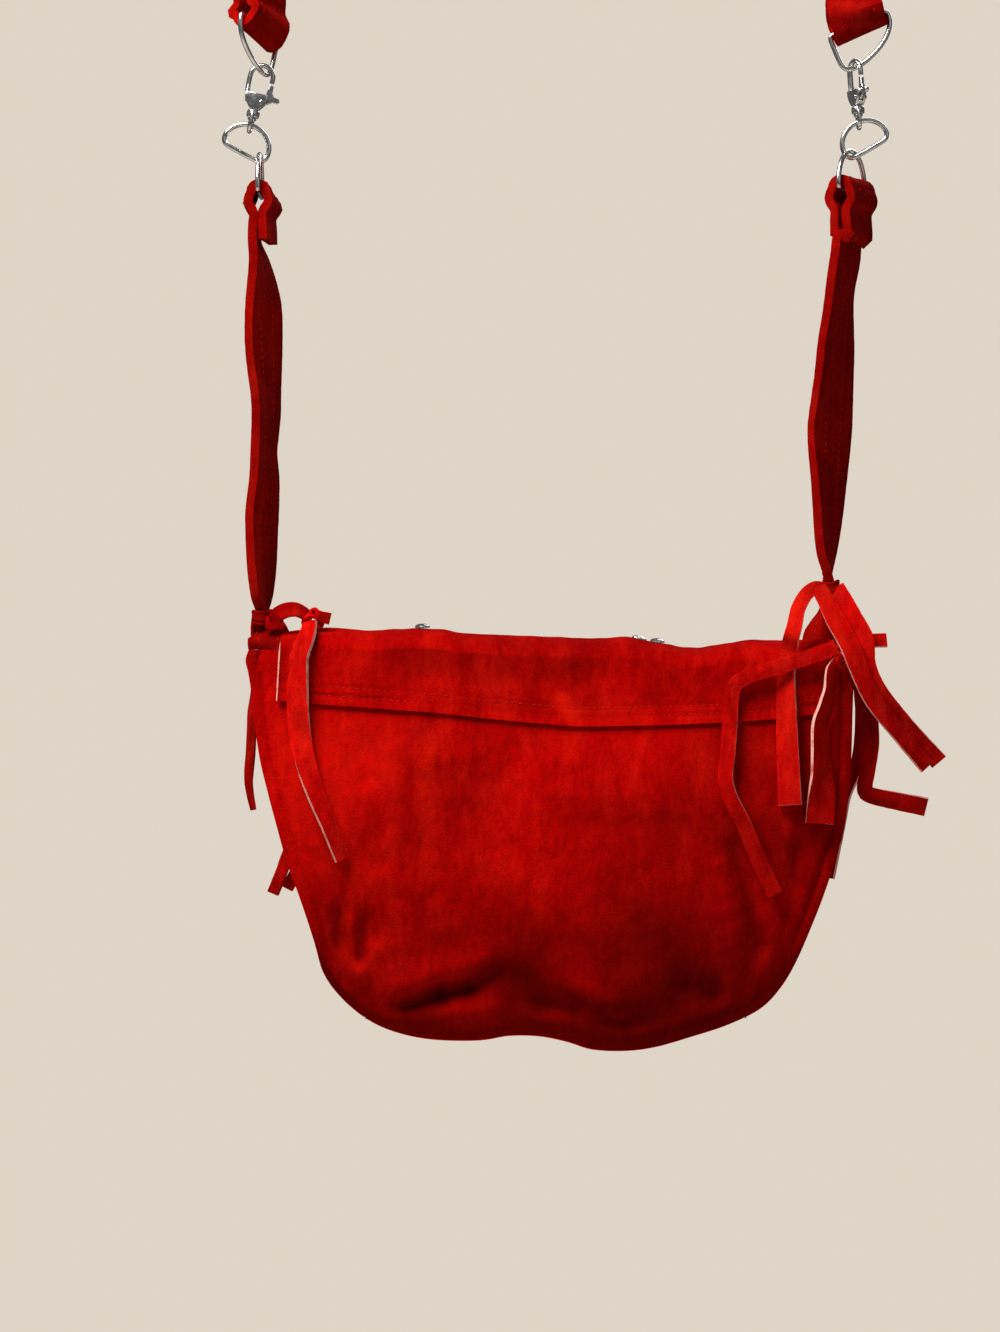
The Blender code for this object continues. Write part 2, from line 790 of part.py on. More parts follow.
def stirrup(name, holder, finish):
    """The collar that the hook turns in, with a loop below it for the clasp's dee."""
    collar = turned(
        name,
        [
            (0, -COLLAR_HALF), (COLLAR_RADIUS - 0.0004, -COLLAR_HALF),
            (COLLAR_RADIUS, -COLLAR_HALF + 0.0004), (COLLAR_RADIUS, COLLAR_HALF - 0.0004),
            (COLLAR_RADIUS - 0.0004, COLLAR_HALF), (0, COLLAR_HALF),
        ],
        20,
    )
    piece = new_object(name, collar, finish)
    floor = -(stand_off() + WIRE + GAP + LINK_PLAY + STIRRUP_WIRE)
    loop = []
    for i in range(11):
        a = -HALF_TURN * i / 10
        loop.append(
            (STIRRUP_HALF * math.cos(a), floor + STIRRUP_HALF * (1 + math.sin(a)))
        )
    ear = COLLAR_RADIUS + STIRRUP_WIRE * 0.4
    line = [(ear, 0), *loop, (-ear, 0)]
    mesh = bent_wire(name + "_loop", line, STIRRUP_WIRE, 10)
    mesh.transform(Matrix.Rotation(HALF_TURN / 2, 4, "Z"))
    combine(piece, helper(name + "_loop", mesh), "UNION")
    bore = rod(name + "_bore", STUD_SHANK + STUD_PLAY, -0.0040, 0.004, 20)
    combine(piece, helper(name + "_bore", bore), "DIFFERENCE")
    piece.location = (0, 0, 0)
    piece.parent = holder
    return piece


def bent_wire(name, line, radius, sides):
    vertices, faces = [], []
    for i, (u, z) in enumerate(line):
        a, b = line[max(i - 1, 0)], line[min(i + 1, len(line) - 1)]
        ahead = Vector((b[0] - a[0], 0, b[1] - a[1])).normalized()
        out = Vector((ahead.z, 0, -ahead.x))
        for j in range(sides):
            turn = 2 * HALF_TURN * j / sides
            place = Vector((u, 0, z)) + out * radius * math.cos(turn)
            vertices.append(place + Vector((0, radius * math.sin(turn), 0)))
    rows = len(line)
    for i in range(rows - 1):
        for j in range(sides):
            k = (j + 1) % sides
            a, b = i * sides, (i + 1) * sides
            faces.append((a + j, a + k, b + k, b + j))
    faces.append(tuple(range(sides)))
    faces.append(tuple(range((rows - 1) * sides, rows * sides)))
    return mesh_from(name, vertices, faces)


def stand_off():
    """From the collar's middle down to the wire that hangs in the stirrup."""
    return COLLAR_HALF + 2 * GAP + RIVET_THICK + WIRE + LINK_PLAY


def clasp(side_name, crossing, lean, turn, finish, pin_finish):
    """A swivel clasp that stands above the wire its stirrup hangs on."""
    frame = bpy.data.objects.new(side_name + "_clasp_frame", None)
    bpy.context.collection.objects.link(frame)
    axis = lean_axis(lean)
    tilt = Matrix.Rotation(math.radians(lean), 4, "Y")
    place = Vector(crossing) + axis * stand_off()
    place.z -= STRAP_DROP
    frame.matrix_world = Matrix.Translation(place) @ tilt
    swing = bpy.data.objects.new(side_name + "_hook_frame", None)
    bpy.context.collection.objects.link(swing)
    swing.parent = frame
    swing.rotation_euler.z = math.radians(turn)
    stirrup(side_name + "_swivel_stirrup", frame, finish)
    hook(side_name + "_hook", swing, finish)
    gate(side_name + "_gate", swing, finish)
    gate_pin(side_name + "_gate_pin", swing, pin_finish)


def lean_axis(lean):
    angle = math.radians(lean)
    return Vector((math.sin(angle), 0, math.cos(angle)))


def clasp_dee(name, crossing, tilt, offset, finish):
    """The clasp's dee, hung by its arc in the stirrup. Returns its lowest corner."""
    angle = math.radians(tilt)
    along = Vector((math.cos(angle), 0, -math.sin(angle)))
    rise = lean_axis(tilt)
    arc = (DEE_DEPTH - DEE_CORNER) * math.sqrt(1 - (offset / DEE_HALF) ** 2)
    origin = crossing - rise * (DEE_CORNER + arc) - along * offset
    shape = (DEE_HALF, DEE_DEPTH, DEE_CORNER)
    wire_dee(name, origin, along, rise, shape, finish)
    low = math.copysign(1, tilt)
    centre = origin + along * low * (DEE_HALF - DEE_CORNER) + rise * DEE_CORNER
    return centre - Vector((0, 0, DEE_CORNER))


def chain(name, side, place, finish, pin_finish):
    """One side's rings and clasp, each link hung in the one above."""
    up = Vector((0, 0, 1))
    crossing = Vector((side * (BAG_HALF_WIDTH + place["out"]), 0, place["height"]))
    clasp(name, crossing, place["lean"], place["turn"], finish, pin_finish)
    corner = clasp_dee(
        name + "_clasp_dee", crossing, place["tilt"], place["slid"], finish
    )
    ring = (RING_HALF, RING_DEPTH, RING_CORNER)
    eye_top = CLAW_CENTRE + CLAW_HALF - CLAW_WIRE - WIRE - GAP - EYE_PLAY
    held = crossing + lean_axis(place["lean"]) * (stand_off() + eye_top)
    along = Vector(place["upper"]).normalized()
    hang = -(up - along * up.dot(along)).normalized()
    upper_bar = held + along * RING_LEAN - hang * RING_DEPTH
    wire_dee(name + "_upper_ring", upper_bar, along, hang, ring, finish, -RING_LEAN)
    lower = Vector(place["lower"]).normalized()
    top = corner + up * (2 * WIRE + GAP + LINK_PLAY)
    lower_bar = top - up * RING_DEPTH
    wire_dee(name + "_lower_ring", lower_bar, lower, up, ring, finish)
    upper_tail = along.cross(up).normalized() * place["tail"]
    lower_tail = lower.cross(up).normalized() * place["lower_tail"]
    return (upper_bar, along, upper_tail), (lower_bar, lower, lower_tail)


def build():
    clear_scene()
    suede, cut = red_suede(), edge_suede()
    metal, steel = silver_metal(), dark_metal()

    panel("back_panel", -1, suede)
    panel("front_panel", 1, suede)
    gusset(suede)
    flap(suede)
    dome_stud("left_stud", -0.0563, 84, metal)
    dome_stud("middle_stud", 0.0372, 90, metal)
    dome_stud("right_stud", 0.0450, 78, metal)

    right_chain = {
        "out": 0.0029, "height": 0.2225, "lean": -4, "turn": -68, "tilt": -30,
        "slid": 0.0020, "upper": (0.914, 0, 0.407), "lower": (0.5, 0.866, 0),
        "tail": 1, "lower_tail": -1,
    }
    left_chain = {
        "out": 0.0012, "height": 0.2210, "lean": 13, "turn": 0, "tilt": 28,
        "slid": -0.0025, "upper": (-0.504, -0.788, 0.358), "lower": (0, 1, 0),
        "tail": 1, "lower_tail": 1,
    }
    right_upper, right_lower = chain("right", 1, right_chain, metal, steel)
    left_upper, left_lower = chain("left", -1, left_chain, metal, steel)
    upper_strap(left_upper, right_upper, suede)

    # inwards of the side seam, height, turn from face-on, width and thickness
    left_run = [
        (-0.0039, 0.1450, 124, STRAP_WIDTH, STRAP_THICK),
        (-0.0052, 0.1015, 118, STRAP_WIDTH, STRAP_THICK),
        (-0.0043, 0.0830, 110, STRAP_WIDTH, STRAP_THICK),
        (-0.0035, 0.0500, 120, STRAP_WIDTH, STRAP_THICK),
        (-0.0034, 0.0240, 105, STRAP_WIDTH * 0.9, STRAP_THICK),
        (-0.0037, 0.0125, 90, NECK_WIDTH, NECK_THICK),
        (-0.0037, 0.0025, 90, NECK_WIDTH, NECK_THICK),
    ]
    right_run = [
        (-0.0055, 0.1510, 121, STRAP_WIDTH, STRAP_THICK),
        (-0.0089, 0.1015, 141, STRAP_WIDTH, STRAP_THICK),
        (-0.0100, 0.0714, 135, STRAP_WIDTH, STRAP_THICK),
        (-0.0110, 0.0450, 114, STRAP_WIDTH * 0.85, STRAP_THICK),
        (-0.0103, 0.0270, 90, NECK_WIDTH, NECK_THICK),
        (-0.0103, 0.0130, 90, NECK_WIDTH, NECK_THICK),
    ]
    lower_strap("left_lower_strap", -1, left_lower, left_run, suede)
    lower_strap("right_lower_strap", 1, right_lower, right_run, suede)
    left_tassel(cut)
    right_tassel(cut)


def over_panel(x, z, layer, side=-1):
    """The middle of a strip that lies over the flap or panel, that many strips up."""
    base = panel_depth(x, z) + SUEDE + FLAP_PLAY
    lift = GAP + STRIP_PLAY + STRIP_THICK / 2 + layer * (STRIP_THICK + 2 * GAP)
    return x, side * (base + lift), z


def left_tassel(finish):
    edge = -BAG_HALF_WIDTH
    neck = Vector((edge + 0.0037, 0, 0.0075))
    tie("left_tie", neck, finish)
    _, ahead = neck_reach()
    front = -(ahead + STRIP_THICK + GAP)
    fold = PANEL_TOP + FLAP_PLAY + FLAP_RISE
    seat = Vector((edge + 0.0265, -0.0105, fold - 0.0015 + GAP + KNOT_SIZE[2]))
    knot("left_knot", seat, finish)
    strip(
        "left_strip_arch",
        [
            (neck.x - 0.0004, front - 0.0009, 0.0085), (neck.x + 0.0045, front - 0.0040, 0.0135),
            (neck.x + 0.0105, front - 0.0040, 0.0150),
            (seat.x - KNOT_SIZE[0] - 0.0010, seat.y - 0.0010, seat.z + 0.0015),
        ],
        (0.0045, 0.0045), finish, (0, -0.5, -0.87),
    )
    strip(
        "left_strip_front",
        [
            (seat.x - 0.0010, seat.y - KNOT_SIZE[1] - 0.0014, seat.z - 0.0015),
            (seat.x - 0.0030, seat.y - 0.0100, fold - 0.0045),
            over_panel(edge + 0.0205, -0.0150, 0), over_panel(edge + 0.0205, -0.0290, 0),
            over_panel(edge + 0.0230, -0.0450, 0), over_panel(edge + 0.0260, -0.0620, 0),
            over_panel(edge + 0.0330, -0.0780, 0), over_panel(edge + 0.0400, -0.0950, 0),
        ],
        (0.0060, 0.0070), finish,
    )
    strip(
        "left_strip_tab",
        [
            (seat.x + KNOT_SIZE[0] + 0.0004, seat.y, seat.z),
            (seat.x + KNOT_SIZE[0] + 0.0055, seat.y - 0.0010, seat.z - 0.0005),
            (seat.x + KNOT_SIZE[0] + 0.0090, seat.y - 0.0015, seat.z - 0.0020),
        ],
        (0.0050, 0.0050), finish,
    )
    outside = edge - GUSSET_BOW - STRIP_THICK / 2 - 2 * GAP
    strip(
        "left_strip_edge",
        [
            (neck.x - 0.0062, -0.0045, 0.0070), (outside - 0.0020, -0.0065, -0.0040),
            (outside - 0.0015, -0.0080, -0.0240), (outside - 0.0020, -0.0080, -0.0390),
            (outside - 0.0025, -0.0080, -0.0530), (outside - 0.0015, -0.0080, -0.0660),
            (outside - 0.0005, -0.0080, -0.0750),
        ],
        (0.0050, 0.0060), finish, (-0.9, -0.4, 0),
    )
    behind = [(0.0008, -0.0150), (0.0045, -0.0300), (0.0105, -0.0600)]
    behind += [(0.0155, -0.0850), (0.0120, -0.1000), (0.0070, -0.1130)]
    strip(
        "left_strip_behind",
        [(neck.x - 0.0030, -front, 0.0065), (neck.x - 0.0036, -front + 0.0070, 0.0010)]
        + [over_panel(edge + x, z, 0, 1) for x, z in behind],
        (0.0050, 0.0055), finish, (0, 1, 0),
    )
    inner = [(0.0080, -0.0150), (0.0115, -0.0300), (0.0185, -0.0600)]
    inner += [(0.0225, -0.0850), (0.0190, -0.0990), (0.0130, -0.1110)]
    strip(
        "left_strip_inner",
        [(neck.x + 0.0026, -front, 0.0065), (neck.x + 0.0030, -front + 0.0070, 0.0010)]
        + [over_panel(edge + x, z, 1, 1) for x, z in inner],
        (0.0050, 0.0055), finish, (0, 1, 0),
    )


def right_tassel(finish):
    edge = BAG_HALF_WIDTH
    neck = Vector((edge - 0.0103, 0, 0.0200))
    tie("right_tie", neck, finish)
    out, ahead = neck_reach()
    front = -(ahead + STRIP_THICK + GAP)
    seat = Vector((edge - 0.0060, -(HALF_THICK + GAP + KNOT_SIZE[1]), -0.0085))
    knot("right_knot", seat, finish)
    hanging = [(-0.0315, -0.0120), (-0.0310, -0.0290), (-0.0300, -0.0520)]
    hanging += [(-0.0293, -0.0720)]
    strip(
        "right_strip_a",
        [
            (neck.x - 0.0005, front, 0.0215), (neck.x - 0.0095, front - 0.0055, 0.0195),
            (neck.x - 0.0170, front - 0.0105, 0.0120), over_panel(edge - 0.0310, 0.0010, 0.4),
        ]
        + [over_panel(edge + x, z, 0) for x, z in hanging],
        (0.0055, 0.0100), finish,
    )
    strip(
        "right_strip_b",
        [
            (seat.x - KNOT_SIZE[0] - 0.0012, seat.y - 0.0020, seat.z + 0.0005),
            over_panel(edge - 0.0215, -0.0105, 1.4), over_panel(edge - 0.0315, -0.0130, 1.8),
            over_panel(edge - 0.0405, -0.0155, 1.2), over_panel(edge - 0.0510, -0.0190, 0.4),
            over_panel(edge - 0.0570, -0.0320, 0), over_panel(edge - 0.0575, -0.0550, 0),
            over_panel(edge - 0.0560, -0.0700, 0), over_panel(edge - 0.0470, -0.0900, 0),
            over_panel(edge - 0.0365, -0.1100, 0),
        ],
        (0.0050, 0.0055), finish,
    )
    strip(
        "right_strip_c",
        [
            (seat.x - 0.0010, seat.y - 0.0008, seat.z - KNOT_SIZE[2] - 0.0004),
            over_panel(edge - 0.0105, -0.0230, 0.5), over_panel(edge - 0.0110, -0.0360, 0.2),
            over_panel(edge - 0.0120, -0.0550, 0), over_panel(edge - 0.0140, -0.0700, 0),
            over_panel(edge - 0.0180, -0.0810, 0),
        ],
        (0.0060, 0.0105), finish,
    )
    strip(
        "right_strip_d",
        [
            (neck.x + 0.0032, front, 0.0205), (edge - 0.0065, -0.0200, 0.0140),
            (edge - 0.0025, -0.0292, 0.0000), (edge + 0.0005, -0.0305, -0.0150),
            (edge + 0.0075, -0.0315, -0.0290), (edge + 0.0215, -0.0310, -0.0460),
            (edge + 0.0295, -0.0305, -0.0560),
        ],
        (0.0050, 0.0075), finish,
    )
    strip(
        "right_strip_e",
        [
            (neck.x + 0.0064, -0.0062, 0.0185), (edge + 0.0020, -0.0170, 0.0120),
            (edge + 0.0070, -0.0262, 0.0020), (edge + 0.0088, -0.0275, -0.0140),
            (edge + 0.0158, -0.0275, -0.0270), (edge + 0.0278, -0.0270, -0.0420),
            (edge + 0.0360, -0.0265, -0.0530),
        ],
        (0.0045, 0.0075), finish,
    )
    strip(
        "right_strip_tab",
        [
            (seat.x + KNOT_SIZE[0] + 0.0003, seat.y + 0.0010, -0.0075),
            (edge + 0.0045, seat.y + 0.0030, -0.0035),
            (edge + 0.0090, seat.y + 0.0035, -0.0020),
            (edge + 0.0135, seat.y + 0.0040, -0.0020),
        ],
        (0.0050, 0.0060), finish,
    )
    last_width = 0.0055
    beside_tie = neck.x + out + STRIP_THICK / 2 + last_width / 2 + 2 * GAP
    strip(
        "right_strip_f",
        [
            (beside_tie, 0.0040, 0.0180), (edge - 0.0008, 0.0045, 0.0090),
            (edge + 0.0068, 0.0010, -0.0070), (edge + 0.0075, -0.0040, -0.0220),
            (edge + 0.0073, -0.0075, -0.0400), (edge + 0.0072, -0.0088, -0.0560),
            (edge + 0.0105, -0.0090, -0.0655), (edge + 0.0190, -0.0090, -0.0705),
            (edge + 0.0315, -0.0090, -0.0727),
        ],
        (last_width, 0.0095), finish, (0.2, -1, 0),
    )
    hanging = [(0.0030, -0.0100), (0.0045, -0.0250), (0.0030, -0.0560)]
    hanging += [(-0.0005, -0.0700), (-0.0035, -0.0900), (-0.0070, -0.1060)]
    strip(
        "right_strip_g",
        [(neck.x + 0.0020, -front, 0.0185), (edge - 0.0030, -front + 0.0080, 0.0100)]
        + [over_panel(edge + x, z, 0, 1) for x, z in hanging],
        (0.0050, 0.0060), finish, (0, 1, 0),
    )


build()
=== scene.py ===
import bpy
import math
import numpy as np
from mathutils import Vector, Matrix, noise


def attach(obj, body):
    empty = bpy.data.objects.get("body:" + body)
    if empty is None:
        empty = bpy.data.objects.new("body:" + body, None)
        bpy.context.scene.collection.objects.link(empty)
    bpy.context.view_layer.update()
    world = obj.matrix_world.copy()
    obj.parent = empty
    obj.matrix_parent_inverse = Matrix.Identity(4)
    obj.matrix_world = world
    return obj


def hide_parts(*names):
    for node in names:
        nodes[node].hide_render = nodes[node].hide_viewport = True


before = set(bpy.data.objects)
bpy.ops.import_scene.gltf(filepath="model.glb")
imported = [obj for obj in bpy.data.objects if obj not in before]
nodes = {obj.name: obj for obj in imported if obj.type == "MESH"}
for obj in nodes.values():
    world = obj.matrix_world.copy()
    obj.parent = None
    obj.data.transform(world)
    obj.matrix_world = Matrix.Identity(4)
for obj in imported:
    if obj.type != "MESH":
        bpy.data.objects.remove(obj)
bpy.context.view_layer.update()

mm = 0.001
drop = 0.460              # the bag's own z = 0 hangs this far below the strap's top
edgeX = 129.5             # half the bag's width in millimetres


def note(text):
    print("scene:", text)


def deselect():
    bpy.ops.object.select_all(action="DESELECT")


def ease(t):
    t = np.clip(t, 0.0, 1.0)
    return t * t * (3 - 2 * t)


def unit(rows):
    return rows / np.maximum(np.linalg.norm(rows, axis=-1, keepdims=True), 1e-12)


def runAlong(line):
    # how far along the line each of its points lies
    steps = np.linalg.norm(np.diff(line, axis=0), axis=1)
    return np.concatenate([[0], np.cumsum(steps)])


def readAt(want, known, rows):
    # rows of numbers read off at the wanted places
    return np.column_stack([np.interp(want, known, column) for column in rows.T])


def throughPoints(points, count):
    # a smooth curve through points of any length, evenly spaced along its run
    finer = 16
    known = np.array(points, float)
    known = np.vstack([2 * known[0] - known[1], known, 2 * known[-1] - known[-2]])
    fine = []
    for i in range(1, len(known) - 2):
        a, b, c, d = known[i - 1:i + 3]
        for t in np.linspace(0, 1, finer, endpoint=False):
            fine.append(0.5 * (2 * b + (c - a) * t + (2 * a - 5 * b + 4 * c - d) * t ** 2
                               + (3 * b - a - 3 * c + d) * t ** 3))
    fine.append(known[-2])
    fine = np.array(fine)
    run = runAlong(fine[:, :3])
    return readAt(np.linspace(0, run[-1], count), run, fine)


def noiseRow(places):
    return np.array([noise.noise(Vector(place)) for place in places])


def foldNoise(x, z, scale, seed):
    return noiseRow((a * scale, seed, b * scale) for a, b in zip(x, z))


# Finishes

suedeLook = {
    "red": (0.520, 0.0010, 0.0008),
    "deep": (0.090, 0.0003, 0.0003),
    "rubbedAndLit": (0.820, 0.0105, 0.0028),
    # how fine each pattern is, from the largest blotch to a single fibre
    "blotch": 13.0, "brushed": 70.0, "dimple": 240.0, "tuft": 260.0, "fibre": 1300.0,
    # how much of each shows
    "blotchShare": 0.45, "brushedShare": 0.42, "tuftShare": 0.60, "fibreShare": 0.55,
    # the last two: how much rubbed nap with painted light shows, and how much painted shade
    "rubAndLightShare": 0.85, "shadeShare": 0.80,
    "rough": 0.95, "shine": 0.01, "nap": 0.55, "dimpled": 0.30,
}
stripLook = dict(
    suedeLook, red=(0.600, 0.0024, 0.0018), rubbedAndLit=(0.860, 0.0220, 0.0080),
)
strapLook = dict(
    suedeLook, red=(0.300, 0.0016, 0.0010), deep=(0.120, 0.0004, 0.0003), rubbedAndLit=(0.520, 0.0110, 0.0040),
)
cutLook = {
    "pale": (0.830, 0.420, 0.360), "stain": (0.620, 0.095, 0.065),
    "streak": 190.0, "fuzz": 1600.0, "fuzzy": 0.4, "rough": 0.95, "shine": 0.1,
}
threadLook = {"red": (0.560, 0.014, 0.007), "twist": 900.0, "shaded": 0.6, "rough": 0.85, "shine": 0.03}
chromeLook = {
    "silver": (0.80, 0.79, 0.77), "dull": (0.50, 0.49, 0.47),
    "tarnish": 210.0, "scuff": 520.0, "dent": 330.0, "dented": 0.10,
    "smoothest": 0.12, "roughest": 0.34,
}


def grey(level):
    return (level, level, level)


def newMaterial(name):
    made = bpy.data.materials.new(name)
    made.use_nodes = True
    tree = made.node_tree
    return made, tree, tree.nodes["Principled BSDF"]


def noiseAt(tree, where, scale, detail=3.0, rough=0.55, stretch=(1, 1, 1)):
    mapping = tree.nodes.new("ShaderNodeMapping")
    mapping.inputs["Scale"].default_value = stretch
    tree.links.new(where, mapping.inputs["Vector"])
    made = tree.nodes.new("ShaderNodeTexNoise")
    made.inputs["Scale"].default_value = scale
    made.inputs["Detail"].default_value = detail
    made.inputs["Roughness"].default_value = rough
    tree.links.new(mapping.outputs["Vector"], made.inputs["Vector"])
    return made.outputs["Fac"]


def rampOf(tree, value, stops):
    made = tree.nodes.new("ShaderNodeValToRGB")
    while len(made.color_ramp.elements) < len(stops):
        made.color_ramp.elements.new(0.5)
    for element, (place, colour) in zip(made.color_ramp.elements, stops):
        element.position = place
        element.color = (*colour, 1)
    tree.links.new(value, made.inputs["Fac"])
    return made.outputs["Color"]


def blendOf(tree, amount, below, above, kind="MIX"):
    # two colours blended: the second is a colour of the palette or another node's
    made = tree.nodes.new("ShaderNodeMix")
    made.data_type = "RGBA"
    made.blend_type = kind
    share, first, second = made.inputs[0], made.inputs[6], made.inputs[7]
    if isinstance(amount, float):
        share.default_value = amount
    else:
        tree.links.new(amount, share)
    tree.links.new(below, first)
    if isinstance(above, tuple):
        second.default_value = (*above, 1)
    else:
        tree.links.new(above, second)
    return made.outputs[2]


def mathOf(tree, kind, value, number):
    made = tree.nodes.new("ShaderNodeMath")
    made.operation = kind
    made.use_clamp = kind == "MULTIPLY"
    tree.links.new(value, made.inputs[0])
    made.inputs[1].default_value = number
    return made.outputs[0]


def bumpOf(tree, height, strength, distance, under=None):
    made = tree.nodes.new("ShaderNodeBump")
    made.inputs["Strength"].default_value = strength
    made.inputs["Distance"].default_value = distance
    tree.links.new(height, made.inputs["Height"])
    if under is not None:
        tree.links.new(under, made.inputs["Normal"])
    return made.outputs["Normal"]


def suedeMaterial(name, look):
    made, tree, shader = newMaterial(name)
    place = tree.nodes.new("ShaderNodeTexCoord").outputs["Object"]
    blotch = noiseAt(tree, place, look["blotch"], 4.0, 0.6)
    brushed = noiseAt(tree, place, look["brushed"], 6.0, 0.66, (1.5, 1, 0.5))
    tuft = noiseAt(tree, place, look["tuft"], 4.0, 0.7, (1.3, 1, 0.7))
    fibre = noiseAt(tree, place, look["fibre"], 2.0, 0.6)
    dimple = noiseAt(tree, place, look["dimple"], 4.0, 0.6)

    # cloudy dye, tufts, brushed streaks and single fibres
    cloud = rampOf(tree, blotch, [(0.34, look["deep"]), (0.56, look["red"])])
    dyed = blendOf(tree, look["blotchShare"], cloud, look["red"])
    tufted = rampOf(tree, tuft, [(0.36, grey(0.66)), (0.64, grey(1.16))])
    dyed = blendOf(tree, look["tuftShare"], dyed, tufted, "MULTIPLY")
    lifted = rampOf(tree, brushed, [(0.45, grey(0)), (0.70, grey(1))])
    streaked = blendOf(tree, mathOf(tree, "MULTIPLY", lifted, look["brushedShare"]), dyed, look["rubbedAndLit"])
    speck = rampOf(tree, fibre, [(0.30, grey(0.62)), (0.60, grey(1.10))])
    napped = blendOf(tree, look["fibreShare"], streaked, speck, "MULTIPLY")

    # the piece's own marks, with painted light and shade: rubbed nap and painted light where the
    # wear-and-shading attribute is above nought, painted shade where it is below
    wearAndShading = tree.nodes.new("ShaderNodeAttribute")
    wearAndShading.attribute_name = "wearAndShading"
    bright = mathOf(tree, "MAXIMUM", wearAndShading.outputs["Fac"], 0.0)
    dark = mathOf(tree, "MAXIMUM", mathOf(tree, "MULTIPLY", wearAndShading.outputs["Fac"], -1.0), 0.0)
    rubbedAndLit = blendOf(tree, mathOf(tree, "MULTIPLY", bright, look["rubAndLightShare"]), napped, look["rubbedAndLit"])
    shadedNap = blendOf(tree, mathOf(tree, "MULTIPLY", dark, look["shadeShare"]), rubbedAndLit, look["deep"])
    tree.links.new(shadedNap, shader.inputs["Base Color"])

    pile = bumpOf(tree, fibre, look["nap"], 0.0004)
    hide = bumpOf(tree, dimple, look["dimpled"], 0.0012, pile)
    tree.links.new(hide, shader.inputs["Normal"])
    shader.inputs["Roughness"].default_value = look["rough"]
    shader.inputs["Specular IOR Level"].default_value = look["shine"]
    return made


def cutMaterial(name, look):
    made, tree, shader = newMaterial(name)
    place = tree.nodes.new("ShaderNodeTexCoord").outputs["Object"]
    streak = noiseAt(tree, place, look["streak"], 3.0, 0.6)
    colour = rampOf(tree, streak, [(0.30, look["stain"]), (0.52, look["pale"])])
    tree.links.new(colour, shader.inputs["Base Color"])
    fuzz = bumpOf(tree, noiseAt(tree, place, look["fuzz"], 2.0), look["fuzzy"], 0.0003)
    tree.links.new(fuzz, shader.inputs["Normal"])
    shader.inputs["Roughness"].default_value = look["rough"]
    shader.inputs["Specular IOR Level"].default_value = look["shine"]
    return made


def threadMaterial(name, look):
    made, tree, shader = newMaterial(name)
    place = tree.nodes.new("ShaderNodeTexCoord").outputs["Object"]
    twist = noiseAt(tree, place, look["twist"], 2.0)
    shaded = tuple(c * look["shaded"] for c in look["red"])
    colour = rampOf(tree, twist, [(0.3, shaded), (0.7, look["red"])])
    tree.links.new(colour, shader.inputs["Base Color"])
    shader.inputs["Roughness"].default_value = look["rough"]
    shader.inputs["Specular IOR Level"].default_value = look["shine"]
    return made


def chromeMaterial(name, look):
    made, tree, shader = newMaterial(name)
    place = tree.nodes.new("ShaderNodeTexCoord").outputs["Object"]
    tarnish = noiseAt(tree, place, look["tarnish"], 4.0, 0.65)
    colour = rampOf(tree, tarnish, [(0.28, look["dull"]), (0.55, look["silver"])])
    tree.links.new(colour, shader.inputs["Base Color"])
    scuff = noiseAt(tree, place, look["scuff"], 4.0, 0.7)
    rough = rampOf(tree, scuff, [(0.35, grey(look["smoothest"])), (0.75, grey(look["roughest"]))])
    tree.links.new(rough, shader.inputs["Roughness"])
    dents = bumpOf(tree, noiseAt(tree, place, look["dent"], 2.0), look["dented"], 0.0004)
    tree.links.new(dents, shader.inputs["Normal"])
    shader.inputs["Metallic"].default_value = 1.0
    return made


suede = suedeMaterial("redSuede", suedeLook)
stripSuede = suedeMaterial("stripSuede", stripLook)
strapSuede = suedeMaterial("strapSuede", strapLook)
cutEdge = cutMaterial("cutEdge", cutLook)
thread = threadMaterial("redThread", threadLook)
chrome = chromeMaterial("silverPlate", chromeLook)
note("finishes ready")


# Sheets, bands and stitches

edgeFinish = {"segments": 3, "bevelFrom": 50, "smoothBelow": 42}


def gridSheet(name, columns, rows, thick, lay, finish=suede, offset=-1.0, rounded=0.0):
    # a grid is added, each point is laid where it belongs, and it gets its thickness
    deselect()
    bpy.ops.mesh.primitive_grid_add(x_subdivisions=columns, y_subdivisions=rows, size=2)
    sheet = bpy.context.active_object
    sheet.name = name
    flat = np.empty(len(sheet.data.vertices) * 3)
    sheet.data.vertices.foreach_get("co", flat)
    flat = flat.reshape(-1, 3)
    placed, wearAndShading = lay((flat[:, 0] + 1) / 2, (flat[:, 1] + 1) / 2)
    sheet.data.vertices.foreach_set("co", placed.ravel())
    mark = sheet.data.attributes.new("wearAndShading", "FLOAT", "POINT")
    mark.data.foreach_set("value", wearAndShading)
    sheet.data.update()
    sheet.data.materials.append(finish)
    sheet.data.materials.append(finish if rounded else cutEdge)
    wall = sheet.modifiers.new("wall", "SOLIDIFY")
    wall.thickness = thick * mm
    wall.offset = offset
    wall.use_even_offset = False
    wall.material_offset_rim = 1
    bpy.ops.object.modifier_apply(modifier="wall")
    if rounded:
        edge = sheet.modifiers.new("roundEdge", "BEVEL")
        edge.width = rounded * mm
        edge.segments = edgeFinish["segments"]
        edge.limit_method = "ANGLE"
        edge.angle_limit = math.radians(edgeFinish["bevelFrom"])
        bpy.ops.object.modifier_apply(modifier="roundEdge")
    bpy.ops.object.shade_smooth_by_angle(angle=math.radians(edgeFinish["smoothBelow"]))
    return sheet


def finishPiece(piece, slot, *replaced, body="root"):
    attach(piece, body)
    if replaced:
        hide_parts(*replaced)


bandGrain = {
    # how fine each unevenness along a band is, and how much of it shows
    "sway": 0.045, "ragged": 0.35, "raggedShare": 0.16, "curl": 0.11,
    "mottle": 0.10, "mottleShare": 0.40, "edgeRub": 0.20,
    # painted shade from side to side: its middle, and the painted dark line along the near edge
    "shadeSlantFrom": 0.10, "nearEdgeShade": 0.09, "nearShadeShare": 0.55,
}


